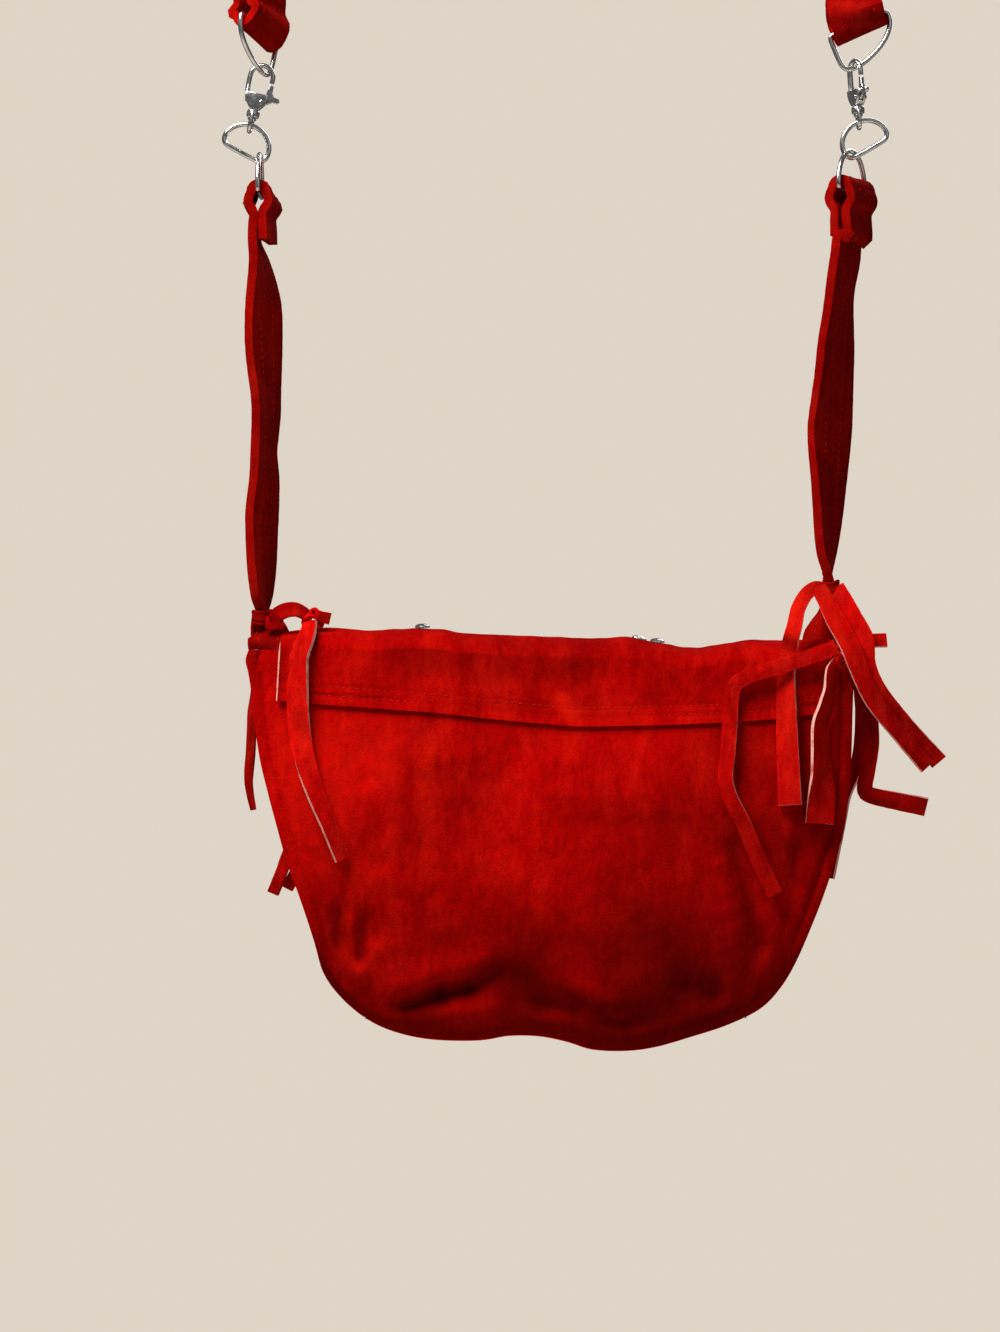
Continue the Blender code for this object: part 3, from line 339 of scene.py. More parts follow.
def bandSheet(name, line, across, widths, thick, columns, finish,
              curl=0.0, rounded=0.0, wave=0.0, seed=0.0, paintedShade=0.0, shadeSlant=0.0):
    # a band along a line of places in millimetres, with the direction of its width at each
    count = len(line)
    ahead = unit(np.gradient(line, axis=0))
    across = unit(across - ahead * (across * ahead).sum(axis=1, keepdims=True))
    face = unit(np.cross(ahead, across))
    run = runAlong(line)
    grain = bandGrain

    def lay(u, v):
        index = u * (count - 1)
        pick = np.arange(count)
        place, side, out = (readAt(index, pick, part) for part in (line, across, face))
        wide = np.interp(index, pick, widths)
        along = np.interp(index, pick, run)
        t = v - 0.5
        sway = noiseRow((a * grain["sway"], seed, 1.0) for a in along) * wave
        ragged = noiseRow((a * grain["ragged"], seed, np.sign(b) * 9.0) for a, b in zip(along, t))
        ragged = ragged * wave * grain["raggedShare"]
        bow = curl * (t * 2) ** 2 * (0.6 + 0.4 * np.sin(along * grain["curl"] + seed))
        spot = place + side * (t * (wide + ragged * 2))[:, None] + out * (bow + sway * t)[:, None]
        mottle = noiseRow((a * grain["mottle"], b * 2.0, seed) for a, b in zip(along, t))
        edgeRub = 0.0 if rounded else grain["edgeRub"]
        # painted shade: the whole band is painted darker by its shade amount, and across it by its slant;
        # unrounded edges are lighter, rubbed
        wearAndShading = paintedShade + edgeRub * np.abs(t * 2) ** 6 + grain["mottleShare"] * mottle
        nearShadeLine = np.exp(-((t + 0.5) / grain["nearEdgeShade"]) ** 2)
        wearAndShading = wearAndShading - shadeSlant * (t + grain["shadeSlantFrom"]) - grain["nearShadeShare"] * shadeSlant * nearShadeLine
        spot = spot * mm
        spot[:, 2] -= drop
        return spot, wearAndShading

    return gridSheet(name, count - 1, columns, thick, lay, finish, 0.0, rounded)


def stitchRow(name, line, normals, size, finish, slot):
    # one stitch is modelled, then repeated along the row
    deselect()
    bpy.ops.mesh.primitive_uv_sphere_add(segments=6, ring_count=4, radius=1)
    row = bpy.context.active_object
    row.name = name
    bead = np.empty(len(row.data.vertices) * 3)
    row.data.vertices.foreach_get("co", bead)
    bead = bead.reshape(-1, 3) * np.array(size)
    faces = [tuple(face.vertices) for face in row.data.polygons]
    ahead = unit(np.gradient(line, axis=0))
    side = unit(np.cross(normals, ahead))
    up = np.cross(ahead, side)
    places, polygons = [], []
    for k in range(len(line)):
        spot = line[k] + bead[:, :1] * ahead[k] + bead[:, 1:2] * side[k] + bead[:, 2:] * up[k]
        polygons += [tuple(v + k * len(bead) for v in face) for face in faces]
        places.append(spot * mm - np.array([0, 0, drop]))
    row.data.clear_geometry()
    row.data.from_pydata(np.vstack(places).tolist(), [], polygons)
    row.data.materials.append(finish)
    bpy.ops.object.shade_smooth()
    finishPiece(row, slot)
    return row


# The bag's body: one outline and one bulge for both panels and the gusset

rim = {
    # the seam's outline in the bag's millimetres, from the right top corner round the bottom
    "points": [
        (129.0, -6), (128.0, -30), (127.2, -55), (124.8, -80), (119.8, -98), (115.2, -112),
        (109.5, -127), (104.0, -140), (97.5, -151), (89.0, -160), (75.0, -167), (59.0, -172.2),
        (44.0, -176.6), (31.0, -178.3), (17.0, -177.6), (6.0, -174.2), (-6.0, -171.8), (-19.0, -171.6),
        (-32.0, -173.6), (-52.0, -173.2), (-68.0, -170.0), (-80.0, -164.4), (-90.5, -155.5),
        (-98.0, -145.0), (-102.2, -131.0), (-107.8, -113.5), (-114.0, -96.0), (-118.2, -81.0),
        (-122.2, -66.0), (-125.6, -52.0), (-128.2, -34.0), (-129.2, -24.0), (-130.4, -16.0),
        (-131.6, -10.5), (-130.2, -6),
    ],
    "flange": 4.8,        # from the raw edge in to the stitched seam
    "length": 510.0,      # the seam's own length
    "stitch": 3.4,        # from one of its stitches to the next
    "count": 420,         # points along it
}
bulge = {
    "seam": 19.0, "seamLow": 14.5,        # half the depth at the seam, high up and low down
    "belly": 8.5, "pinch": 5.0, "under": 2.5,
    "depth": 171.0, "half": 129.5, "top": -6.0, "acrossPower": 3.3, "downPower": 2.35,
    "hide": 1.7,                          # how thick the suede is
}
backCreases = [
    # from, to, width, depth in millimetres; a negative depth is a ridge
    ((-91.6, -120), (-93.0, -134), 4.6, 4.4), ((-80.0, -122), (-82.0, -138), 5.0, 3.6),
    ((-86.5, -121), (-85.0, -143), 3.8, -2.4), ((-76.0, -134), (-86.0, -152), 5.5, -2.8),
    ((-71.4, -163.5), (-48.6, -153.5), 5.0, 6.4), ((-48.6, -153.5), (-36.0, -151.0), 4.4, 4.6),
    ((-36.0, -151.0), (-23.7, -143.0), 4.6, 4.4), ((-64.0, -150.0), (-30.0, -138.0), 8.0, -2.4),
    ((-46.0, -163.5), (-24.0, -160.0), 6.5, -2.4), ((-13.0, -145.0), (-4.0, -161.0), 7.0, 5.6),
    ((-4.0, -161.0), (8.0, -160.5), 6.0, 3.8), ((24.0, -166.0), (42.0, -168.5), 6.5, 5.0),
    ((12.0, -150.0), (26.0, -158.0), 7.5, -2.8), ((58.0, -150.0), (68.0, -155.5), 6.5, 5.0),
    ((66.0, -166.5), (80.0, -162.0), 2.8, 3.0), ((68.0, -170.0), (81.0, -166.2), 2.4, -1.8),
    ((77.4, -90.0), (88.0, -132.0), 5.5, 3.4), ((70.0, -98.0), (78.0, -130.0), 8.0, -2.2),
    ((96.0, -118.0), (92.0, -146.0), 6.0, -2.2), ((-104.0, -60.0), (-97.0, -100.0), 9.0, -1.6),
    ((-60.0, -62.0), (-20.0, -58.0), 14.0, 1.3), ((10.0, -78.0), (52.0, -84.0), 13.0, 1.5),
    ((-30.0, -96.0), (-2.0, -112.0), 15.0, -1.6), ((40.0, -120.0), (54.0, -140.0), 9.0, 1.8),
    ((-64.0, -112.0), (-50.0, -132.0), 9.0, 1.6), ((104.0, -92.0), (100.0, -118.0), 5.0, 2.2),
]
frontCreases = [
    ((60.0, -150.0), (34.0, -158.0), 6.0, 4.4), ((-20.0, -160.0), (4.0, -154.0), 6.0, 4.6),
    ((-72.0, -150.0), (-60.0, -160.0), 5.0, 4.2), ((88.0, -118.0), (80.0, -138.0), 5.0, 3.4),
    ((-92.0, -112.0), (-82.0, -136.0), 6.0, 3.2), ((-30.0, -138.0), (20.0, -142.0), 12.0, -2.4),
]
backRubsLightShade = [
    # place, reach in millimetres and how much lighter (rubbed nap and painted light) or darker (painted
    # shade in creases and low down)
    ((-106, -44), 16, 0.34), ((-96, -70), 22, 0.26), ((-70, -46), 16, 0.28), ((-30, -50), 22, 0.20),
    ((0, -44), 12, 0.30), ((40, -50), 18, 0.22), ((-8, -76), 26, 0.14), ((60, -70), 20, 0.10),
    ((-86, -140), 12, 0.42), ((-95, -150), 8, 0.30), ((-36, -160), 12, 0.20), ((8, -118), 20, 0.10),
    ((96, -112), 14, 0.16), ((106, -132), 10, 0.24), ((-80, -100), 18, 0.06), ((30, -96), 20, -0.22),
    ((-52, -84), 20, -0.20), ((-20, -128), 22, -0.16), ((50, -126), 24, -0.16), ((-2, -158), 13, -0.58),
    ((29.5, -165.5), 13, -0.66), ((-60, -166), 12, -0.42), ((66, -100), 12, -0.22), ((63, -154), 9, -0.55),
    ((-26, -144), 7, -0.45), ((76, -161), 8, -0.40),
    ((-92, -128), 7, -0.40), ((90, -60), 10, -0.20),
]
# painted light: the front panel's top left corner, shaded by the strap and tie, is painted lighter
frontPaintedLight = [((-120, 0), 16, 0.55)]
panelPlan = {
    "back": {"side": -1, "seed": 2.0, "columns": 200, "rows": 130,
             "creases": backCreases, "rubsLightShade": backRubsLightShade},
    "front": {"side": 1, "seed": 7.0, "columns": 150, "rows": 96,
              "creases": frontCreases, "rubsLightShade": frontPaintedLight},
}
panelFeel = {
    "creaseWidth": 0.86, "creaseDepth": 0.84, "patchHeight": 0.7,
    # slack in the hide: how fine, which noise and how high in millimetres
    "waves": [(0.020, 0, 1.3), (0.055, 3, 0.6), (0.14, 5, 0.30)],
    "gathers": 1.1,
}
seamPull = {
    "valley": 1.6, "deep": 1.7, "lessLow": 1.5, "pucker": 0.25, "flange": 0.8,
    "rolled": 3.2, "rollReach": 8.5,      # the bottom edge rolls in this far
    "lowFrom": 122, "lowOver": 30,        # the low part of the seam starts here
}
panelPaintedShade = {
    # painted shade, darker lower down, to the right, in creases, in the seam's valley and at the rim; each
    # row: how much darker, from where and over how many millimetres
    "downwards": [(0.32, 92, 66), (0.24, 142, 20)],
    "rightwards": [(0.20, -20, 90), (0.10, -80, 60)],
    "lowRight": (0.20, 108, 46, -78, 40),
    "lowEdge": (0.70, 125, 30),
    "crease": 0.13, "seam": 0.42, "edge": 0.12,
}

mouthPlan = {"sag": 6.2, "sagAt": 46, "sagReach": 21, "corner": 8.5, "cornerFrom": 106, "cornerOver": 12}

seamLine = throughPoints(rim["points"], rim["count"])


def rimDistance(x, z):
    # how far each place lies inside the raw edge, and which point of the edge is nearest
    best = np.full(x.shape, 1e9)
    where = np.zeros(x.shape, int)
    for k in range(rim["count"]):
        gap = (x - seamLine[k, 0]) ** 2 + (z - seamLine[k, 1]) ** 2
        nearer = gap < best
        best[nearer] = gap[nearer]
        where[nearer] = k
    inset = np.sqrt(best)
    # the edge runs straight from point to point, so both runs beside the nearest are tried
    for step in (-1, 1):
        start, end = seamLine[where], seamLine[np.clip(where + step, 0, rim["count"] - 1)]
        dx, dz = (end - start).T
        t = ((x - start[..., 0]) * dx + (z - start[..., 1]) * dz) / np.maximum(dx * dx + dz * dz, 1e-9)
        t = np.clip(t, 0, 1)
        inset = np.minimum(inset, np.hypot(x - start[..., 0] - t * dx, z - start[..., 1] - t * dz))
    return inset, where


def creaseSum(x, z, creases):
    total = np.zeros(x.shape)
    for (x1, z1), (x2, z2), wide, deep in creases:
        dx, dz = x2 - x1, z2 - z1
        t = np.clip(((x - x1) * dx + (z - z1) * dz) / (dx * dx + dz * dz), 0, 1)
        off = np.hypot(x - x1 - t * dx, z - z1 - t * dz) / (wide * panelFeel["creaseWidth"])
        total += panelFeel["creaseDepth"] * deep * np.exp(-off ** 1.5)
    return total


def rubLightShadeSum(x, z, rubsLightShade):
    total = np.zeros(x.shape)
    for (cx, cz), reach, amount in rubsLightShade:
        high = reach * panelFeel["patchHeight"]
        total += amount * np.exp(-(((x - cx) / reach) ** 2 + ((z - cz) / high) ** 2))
    return total


def plainDepth(x, z):
    # the bulge with no folds, from the bag's middle plane outwards
    down = np.maximum(bulge["top"] - z, 0)
    across = np.minimum(np.abs(x) / bulge["half"], 1)
    inside = np.minimum(across ** bulge["acrossPower"] + (down / bulge["depth"]) ** bulge["downPower"], 1)
    seam = bulge["seam"] - (bulge["seam"] - bulge["seamLow"]) * ease((down - 90) / 75)
    under = bulge["under"] * ease((down - 96) / 70) * (1 - across ** 2)
    belly = bulge["belly"] * (1 - inside ** 1.5) * np.minimum(1, down / 62) - under
    pinch = bulge["pinch"] * (1 - across ** 2) * np.maximum(0, 1 - down / 70)
    return seam + belly - pinch


def seamPress(inset, where):
    # how far the seam's stitches pull the hide in, with a pucker at each stitch
    pull = seamPull
    each = np.sin(where * rim["length"] / rim["count"] / rim["stitch"] * 2 * math.pi)
    low = ease((-seamLine[where, 1] - pull["lowFrom"]) / pull["lowOver"])
    valley = np.exp(-((inset - rim["flange"]) / pull["valley"]) ** 2)
    flange = pull["flange"] * ease((rim["flange"] - inset) / rim["flange"]) * (1 - low)
    rolled = pull["rolled"] * np.maximum(1 - inset / pull["rollReach"], 0) ** 1.5 * low
    return valley * (pull["deep"] - pull["lessLow"] * low + pull["pucker"] * each) + flange + rolled


def panelFace(x, z, plan):
    # the outer face with its folds, and each place's rubbed nap, painted light and painted shade
    seed = plan["seed"]
    inset, where = rimDistance(x, z)
    inner = ease((inset - rim["flange"] - 0.5) / 10)
    folds = creaseSum(x, z, plan["creases"])
    waves = sum(foldNoise(x, z, fine, seed + more) * high for fine, more, high in panelFeel["waves"])
    low = ease((-z - 105) / 50)
    uneven = np.sin(x * 0.34 + 1.3 * np.sin(x * 0.09))
    gathers = uneven * np.exp(-np.maximum(inset - 6, 0) / 9) * panelFeel["gathers"]
    press = seamPress(inset, where)
    shape = plainDepth(x, z) + (waves - folds + gathers * low) * inner - press

    paintedShade = panelPaintedShade
    edge = ease((rim["flange"] - 1.0 - inset) / 2)
    # rubbed nap and painted light come from the patches; the rest is painted shade in creases, the seam's
    # valley, at the rim, lower down and to the right
    wearAndShading = rubLightShadeSum(x, z, plan["rubsLightShade"]) - folds * paintedShade["crease"] * inner
    wearAndShading = wearAndShading - paintedShade["seam"] * ease((press - 0.9) / 1.2) - paintedShade["edge"] * edge
    for darker, start, reach in paintedShade["downwards"]:
        wearAndShading = wearAndShading - darker * ease((-z - start) / reach)
    for darker, start, reach in paintedShade["rightwards"]:
        wearAndShading = wearAndShading - darker * ease((x - start) / reach)
    darker, start, reach, startX, reachX = paintedShade["lowRight"]
    wearAndShading = wearAndShading - darker * ease((-z - start) / reach) * ease((x - startX) / reachX)
    darker, start, reach = paintedShade["lowEdge"]
    wearAndShading = wearAndShading - darker * edge * ease((-z - start) / reach)
    return shape, np.clip(wearAndShading, -1, 1)


def topEdge(x, side):
    # the mouth sags at one place, and the front panel's corner stands up at the left
    sag = mouthPlan["sag"] * np.exp(-((x - mouthPlan["sagAt"]) / mouthPlan["sagReach"]) ** 2)
    risen = mouthPlan["corner"] * ease((-x - mouthPlan["cornerFrom"]) / mouthPlan["cornerOver"])
    return bulge["top"] - sag + (risen if side > 0 else 0.0)


def seamAt(t):
    want = np.clip(t, 0, 1) * (rim["count"] - 1)
    index = np.arange(rim["count"])
    return np.interp(want, index, seamLine[:, 0]), np.interp(want, index, seamLine[:, 1])


def halfMoon(u, v, side, low=0.335, high=0.665):
    # the half-moon as a patch between its top edge and three runs of the seam
    rightX, rightZ = seamAt((1 - v) * low)
    leftX, leftZ = seamAt(high + v * (1 - high))
    lowX, lowZ = seamAt(high + (low - high) * u)
    left, right = seamLine[-1], seamLine[0]
    lowLeft, lowRight = seamAt(np.array([high])), seamAt(np.array([low]))
    x = (1 - u) * leftX + u * rightX + (1 - v) * lowX + v * (left[0] + (right[0] - left[0]) * u)
    x = x - (1 - u) * (1 - v) * lowLeft[0] - u * (1 - v) * lowRight[0]
    x = x - v * ((1 - u) * left[0] + u * right[0])
    z = (1 - u) * leftZ + u * rightZ + (1 - v) * lowZ + v * bulge["top"]
    z = z - (1 - u) * (1 - v) * lowLeft[1] - u * (1 - v) * lowRight[1] - v * bulge["top"]
    return x, z + (topEdge(x, side) - bulge["top"]) * ease((z + 40) / 34)


def layPanel(plan):
    side = plan["side"]

    def lay(u, v):
        x, z = halfMoon(u if side < 0 else 1 - u, v, side)
        # the patch's two low corners would fold over, so they come in a little
        corner = (v < 0.0001) & (np.abs(u - 0.5) > 0.4999)
        x, z = np.where(corner, x * 0.998, x), np.where(corner, z * 0.999, z)
        depth, wearAndShading = panelFace(x, z, plan)
        return np.column_stack([x * mm, side * depth * mm, z * mm - drop]), wearAndShading
    return lay


def outerFace(x, z, which):
    x, z = (np.atleast_1d(np.array(part, float)) for part in (x, z))
    return panelFace(x, z, panelPlan[which])[0]


def makePanels():
    for which, plan in panelPlan.items():
        panel = gridSheet(which + "Panel", plan["columns"], plan["rows"], bulge["hide"], layPanel(plan))
        finishPiece(panel, "red_suede", which + "_panel")


gussetPlan = {
    "along": 260, "across": 26, "bowTop": -0.7, "bowLow": -2.8,
    "play": 0.25,         # between a flange and the panel outside it
    "flange": 0.17, "lap": 0.3, "ripple": 0.9,
}


def layGusset(u, v):
    # flanges lie inside the panels' rims, and between them the strip bows out a little
    x, z = seamAt(u)
    nextX, nextZ = seamAt(np.clip(u + 0.004, 0, 1))
    lastX, lastZ = seamAt(np.clip(u - 0.004, 0, 1))
    runX, runZ = nextX - lastX, nextZ - lastZ
    size = np.hypot(runX, runZ)
    outX, outZ = -runZ / size, runX / size
    facing = np.sign(outX * x + outZ * (z + 80))
    outX, outZ = outX * facing, outZ * facing

    flange, share = gussetPlan["flange"], np.abs(v - 0.5) * 2
    lowDown = ease((-z - 18) / 40)
    bow = gussetPlan["bowTop"] + (gussetPlan["bowLow"] - gussetPlan["bowTop"]) * lowDown
    onFlange = np.clip((share - (1 - flange)) / flange, 0, 1)
    flat = onFlange > 0
    inset = np.where(flat, rim["flange"] * (1 - onFlange), rim["flange"]) + gussetPlan["lap"]
    middle = np.clip(share / (1 - flange), 0, 1)
    stand = np.where(flat, -inset, bow + (-inset - bow) * middle ** 5)
    seam = plainDepth(x - outX * inset, z - outZ * inset)
    press = seamPress(inset, (u * (rim["count"] - 1)).astype(int))
    edge = seam - press - 2 * bulge["hide"] - gussetPlan["play"]
    across = np.where(flat, edge, edge * (1 - (1 - middle) ** 1.15))
    ripple = foldNoise(u * rim["length"], v * 20, 0.05, 4.0) * gussetPlan["ripple"]
    ripple = ripple * (1 - middle ** 4) * ~flat
    stand = stand + ripple
    x, y, z = x + outX * stand, np.sign(v - 0.5) * across, z + outZ * stand
    # painted shade: the strip is darker between its flanges, and darker still in the ripple's hollows
    wearAndShading = -0.25 * (1 - onFlange) + 0.3 * onFlange + ripple * 0.2
    return np.column_stack([x * mm, y * mm, z * mm - drop]), wearAndShading


def makeGusset():
    gusset = gridSheet("gussetSheet", gussetPlan["along"], gussetPlan["across"], bulge["hide"], layGusset)
    finishPiece(gusset, "red_suede", "gusset")


flapPlan = {
    "half": 116.6, "columns": 170, "rows": 110,
    "back": 0.17, "fold": 0.31,           # how far along the flap its fold starts and ends
    "rise": 8.5, "clear": 0.3, "hide": 1.3, "loft": 0.6,
    "sewn": [(-117.6, -27.6), (-101, -29.2), (-71, -31.4), (-49, -33.1), (-25, -35.7), (-2, -37.8),
             (11, -38.7), (38, -38.3), (65, -37.4), (92, -35.7), (117.6, -33.0)],
    "foldTop": [(-117, 1.8), (-98, 3.6), (-80, 2.4), (-66, 3.1), (-56, 3.3), (-47, 2.8), (-38, 1.2),
                (-16, 0.3), (0, -0.4), (16, -0.9), (26, -0.7), (32, -0.2), (37.5, -1.2), (42, -2.2),
                (45.5, -2.8), (50, -3.5), (56, -4.8), (63, -5.0), (70, -3.9), (85, -1.7), (96, -1.9),
                (117, -1.0)],
    "stitchRows": [(3.9, 0.55), (7.7, 0.45)],     # above the sewn edge, and how deep they press
    "stitchGap": 2.9, "stitch": (1.05, 0.26, 0.22),
    "frontSide": 50.0, "frontMiddle": 118.0, "cornerPower": 2.6,
    "lifted": 1.2,        # the cut edge at the left stands off the panel
}
# on the flap's back: lighter patches are rubbed nap and painted light, and darker ones near the fold are
# painted shade
flapRubsLightShade = [
    ((3.5, -27), 5, 0.95), ((7, -33), 5, 0.75), ((-60, -26), 16, 0.35), ((-20, -31), 20, 0.40),
    ((24, -34), 16, 0.45), ((-98, -22), 14, 0.20), ((-42, -22), 9, 0.28), ((-52, -12), 24, -0.34),
    ((-6, -10), 22, -0.30), ((52, -14), 20, -0.18), ((-98, -8), 14, 0.15), ((64, -32), 16, 0.22),
    ((92, -24), 14, -0.15), ((28, -18), 12, 0.10),
]


def curveOf(points, x):
    return np.interp(x, *throughPoints(points, 200).T)


def flapFace(x, z):
    # the flap's outer face on the back, pressed flat at its two rows of stitches
    above = z - curveOf(flapPlan["sewn"], x)
    rows = sum(deep * np.exp(-((above - high) / 0.8) ** 2) for high, deep in flapPlan["stitchRows"])
    loose = ease(above / 22)
    waves = foldNoise(x, z, 0.035, 12.0) * 1.5 * loose + foldNoise(x, z, 0.10, 15.0) * 0.4 * (0.3 + loose)
    lip = 0.15 * np.exp(-(above / 1.6) ** 2)
    lifted = flapPlan["lifted"] * np.exp(-np.maximum(x + flapPlan["half"], 0) / 1.6)
    face = outerFace(x, z, "back") + flapPlan["clear"] + flapPlan["hide"] + waves + lip - rows
    return face + flapPlan["loft"] * loose + lifted, rows


def overPanel(x, z, which):
    # what lies on a panel with the flap between them starts here
    return outerFace(x, z, which) + flapPlan["clear"] + flapPlan["hide"] + flapPlan["loft"]


def layFlap(u, v):
    x = (u * 2 - 1) * flapPlan["half"]
    share = np.abs(x) / flapPlan["half"]
    sewn = curveOf(flapPlan["sewn"], x)
    shoulder = curveOf(flapPlan["foldTop"], x) - flapPlan["rise"]
    reach = flapPlan["frontMiddle"] - flapPlan["frontSide"]
    free = -(flapPlan["frontSide"] + reach * np.sqrt(np.clip(1 - share ** flapPlan["cornerPower"], 0, 1)))

    # up the back, over the fold in half a turn, and down the front
    back, fold = flapPlan["back"], flapPlan["fold"]
    rising, falling = v <= back, v >= fold
    zBack = sewn + (shoulder - sewn) * np.clip(v / back, 0, 1)
    zFront = shoulder + (free - shoulder) * np.clip((v - fold) / (1 - fold), 0, 1)
    turn = math.pi * np.clip((v - back) / (fold - back), 0, 1)
    yBack, rows = flapFace(x, zBack)
    yFront = overPanel(x, zFront, "front")
    yFront = yFront + foldNoise(x, zFront, 0.03, 21.0) * 1.6 * ease((shoulder - zFront) / 30)
    startY, endY = flapFace(x, shoulder)[0], overPanel(x, shoulder, "front")
    middle, half = (endY - startY) / 2, (endY + startY) / 2
    y = np.where(rising, -yBack, np.where(falling, yFront, middle - half * np.cos(turn)))
    z = np.where(rising, zBack, np.where(falling, zFront, shoulder + flapPlan["rise"] * np.sin(turn)))
    z = z + np.where(rising | falling, 0, foldNoise(x, y, 0.16, 5.0) * 0.3)
    x = x - 1.2 * ease((-x - 90) / 26) * (1 - np.clip(v / back, 0, 1))

    # painted shade: darker along the stitch rows and over the whole back, less so to the right, and darkest
    # on the fold's top
    onBack = rubLightShadeSum(x, z, flapRubsLightShade) - rows * 0.15 - 0.26 + 0.16 * ease((x + 10) / 60)
    wearAndShading = np.where(rising, onBack, 0.0) + np.where(~rising & ~falling, -0.62 * np.sin(turn) ** 0.7, 0)
    return np.column_stack([x * mm, y * mm, z * mm - drop]), np.clip(wearAndShading, -1, 1)


def flapStitches(above):
    x = np.arange(-flapPlan["half"] + 4, flapPlan["half"] - 3, flapPlan["stitchGap"])
    z = curveOf(flapPlan["sewn"], x) + above
    line = np.column_stack([x, -flapFace(x, z)[0] - 0.05, z])
    normals = np.tile([0.0, -1.0, 0.0], (len(x), 1))
    name = "flapStitches" + str(round(above))
    return stitchRow(name, line, normals, flapPlan["stitch"], thread, "red_suede")


def makeFlap():
    flap = gridSheet("flapSheet", flapPlan["columns"], flapPlan["rows"], flapPlan["hide"], layFlap)
    # painted shade: cut edges that face down get the face's red instead of the pale edge colour
    for face in flap.data.polygons:
        if face.material_index and face.normal.z < -0.5:
            face.material_index = 0
    finishPiece(flap, "red_suede", "flap")
    rows = [flapStitches(above) for above, deep in flapPlan["stitchRows"]]


makePanels()
makeGusset()
makeFlap()
note("panels, gusset and flap made")


# Straps: one band of folded suede, sewn along both sides

strapPlan = {
    "wide": 23.5, "thick": 3.9, "rounded": 1.85, "tail": 20.5, "neck": 14.0, "neckRun": 5.0,
    "wire": 1.2, "gap": 0.3, "slack": 0.3,        # round a ring's wire
    "edgeSeen": 2.4,      # how wide the strap looks when it is edge on
    # slant is painted shade: darker towards one edge, with a dark line along the other
    "curl": 0.7, "wave": 1.4, "shadeSlant": 0.9, "columns": 12, "step": 1.25,
    "rowShare": 0.19, "rowGap": 3.1, "stitch": (1.0, 0.24, 0.18),
    "inward": 4.7, "insideNarrower": 2, "inside": [(0.8, -21.0), (1.6, -36.0)],   # its end in the bag
}
leftStrap = {
    "name": "leftLowerStrap", "node": "left_lower_strap", "ring": "left_lower_ring",
    # the left strap is painted a little darker: painted shade
    "along": (0, 1, 0), "tailSide": 1, "side": -1, "paintedShade": -0.10, "neckAt": (-125.8, 9.0),
    # seen from the back: the strap's middle, its height and how wide it looks
    "run": [
        (-126.9, 160.8, 6.9), (-125.6, 144.5, 13.7), (-125.2, 127.3, 13.7), (-124.3, 101.5, 11.2),
        (-124.9, 88.6, 9.0), (-125.4, 80.0, 8.1), (-124.9, 67.0, 10.8), (-126.0, 49.9, 12.0),
        (-126.4, 32.7, 10.4), (-126.2, 17.5, 7.0),
    ],
    # below the tie it fans out: sideways from the neck, its height, its turn in degrees,
    # how much narrower it is and how far it comes forward
    "fan": [(2.6, 1.5, 62, 6.5, 5.0), (4.0, -4.0, 72, 4.0, 8.5), (3.0, -11.0, 45, 4.5, 5.0)],
}
rightStrap = {
    "name": "rightLowerStrap", "node": "right_lower_strap", "ring": "right_lower_ring",
    "along": (0.5, 0.866, 0), "tailSide": -1, "side": 1, "paintedShade": 0.0, "neckAt": (119.2, 21.0),
    "run": [
        (127.3, 172.4, 14.2), (126.0, 162.5, 13.8), (124.3, 150.9, 12.9), (123.2, 135.9, 15.0),
        (122.1, 123.0, 17.2), (120.6, 101.5, 19.4), (119.8, 88.6, 20.2), (119.3, 71.4, 17.6),
        (118.7, 56.3, 14.6), (118.3, 41.3, 11.2), (118.4, 32.7, 8.0),
    ],
    "fan": [(-0.4, 10.0, 16, 8.0, 0.0), (-0.6, 4.5, 45, 6.0, 0.0), (-1.2, -3.5, 74, 4.0, 0.0),
            (1.3, -12.0, 37, 5.0, 0.0)],
}
upperPlan = {
    # each end: its side, its ring and the way that the ring's straight bar runs
    "ends": [(-1, "left_upper_ring", (-0.504, -0.788, 0.358)), (1, "right_upper_ring", (0.914, 0, 0.407))],
    "tail": 19.2, "inward": 1.5, "rise": 9, "arch": 25,
    "curl": 0.4, "wave": 0.8, "seed": 3.0, "columns": 10, "step": 1.8,
    "rowShare": 0.32, "rowGap": 3.6,
}


def barOf(name, along, toward):
    # the middle of a ring's straight bar, in the bag's millimetres
    spots = np.array([tuple(v.co) for v in nodes[name].data.vertices]) / mm
    spots[:, 2] += drop / mm
    reach = spots @ toward
    bar = spots[reach > reach.max() - 2 * strapPlan["wire"] - 0.05]
    axes = [along, toward, np.cross(along, toward)]
    return sum(axis * ((bar @ axis).min() + (bar @ axis).max()) / 2 for axis in axes)


def foldRound(bar, along, up, towardTail, tail, pull):
    # back down the tail, over the bar and away again, as the CAD folds it
    closed = strapPlan["thick"] / 2 + strapPlan["gap"]
    radius = strapPlan["wire"] + strapPlan["gap"] + strapPlan["thick"] / 2 + strapPlan["slack"]
    flat = unit(along - pull * (along @ pull))
    sideways = np.cross(-up, flat)
    turned = unit(flat + 0.17 * sideways * np.sign(towardTail @ sideways))
    away = []
    for share in (0.22, 0.45, 0.7, 1.0):
        heading = unit(-up + (pull + up) * share)
        spread = radius + 1.2 if share < 0.3 else closed
        away.append((bar + heading * tail * share, spread, unit(along + (flat - along) * share)))
    stations = []
    for p, out, w in away[::-1]:
        stations.append((p + towardTail * (out + 1.4), unit(turned + (w - turned) * 0.25)))
    for a in np.linspace(0, math.pi, 9):
        stations.append((bar + towardTail * radius * math.cos(a) + up * radius * math.sin(a), along))
    stations += [(p - towardTail * out, w) for p, out, w in away]
    return [(p, w, strapPlan["wide"]) for p, w in stations]


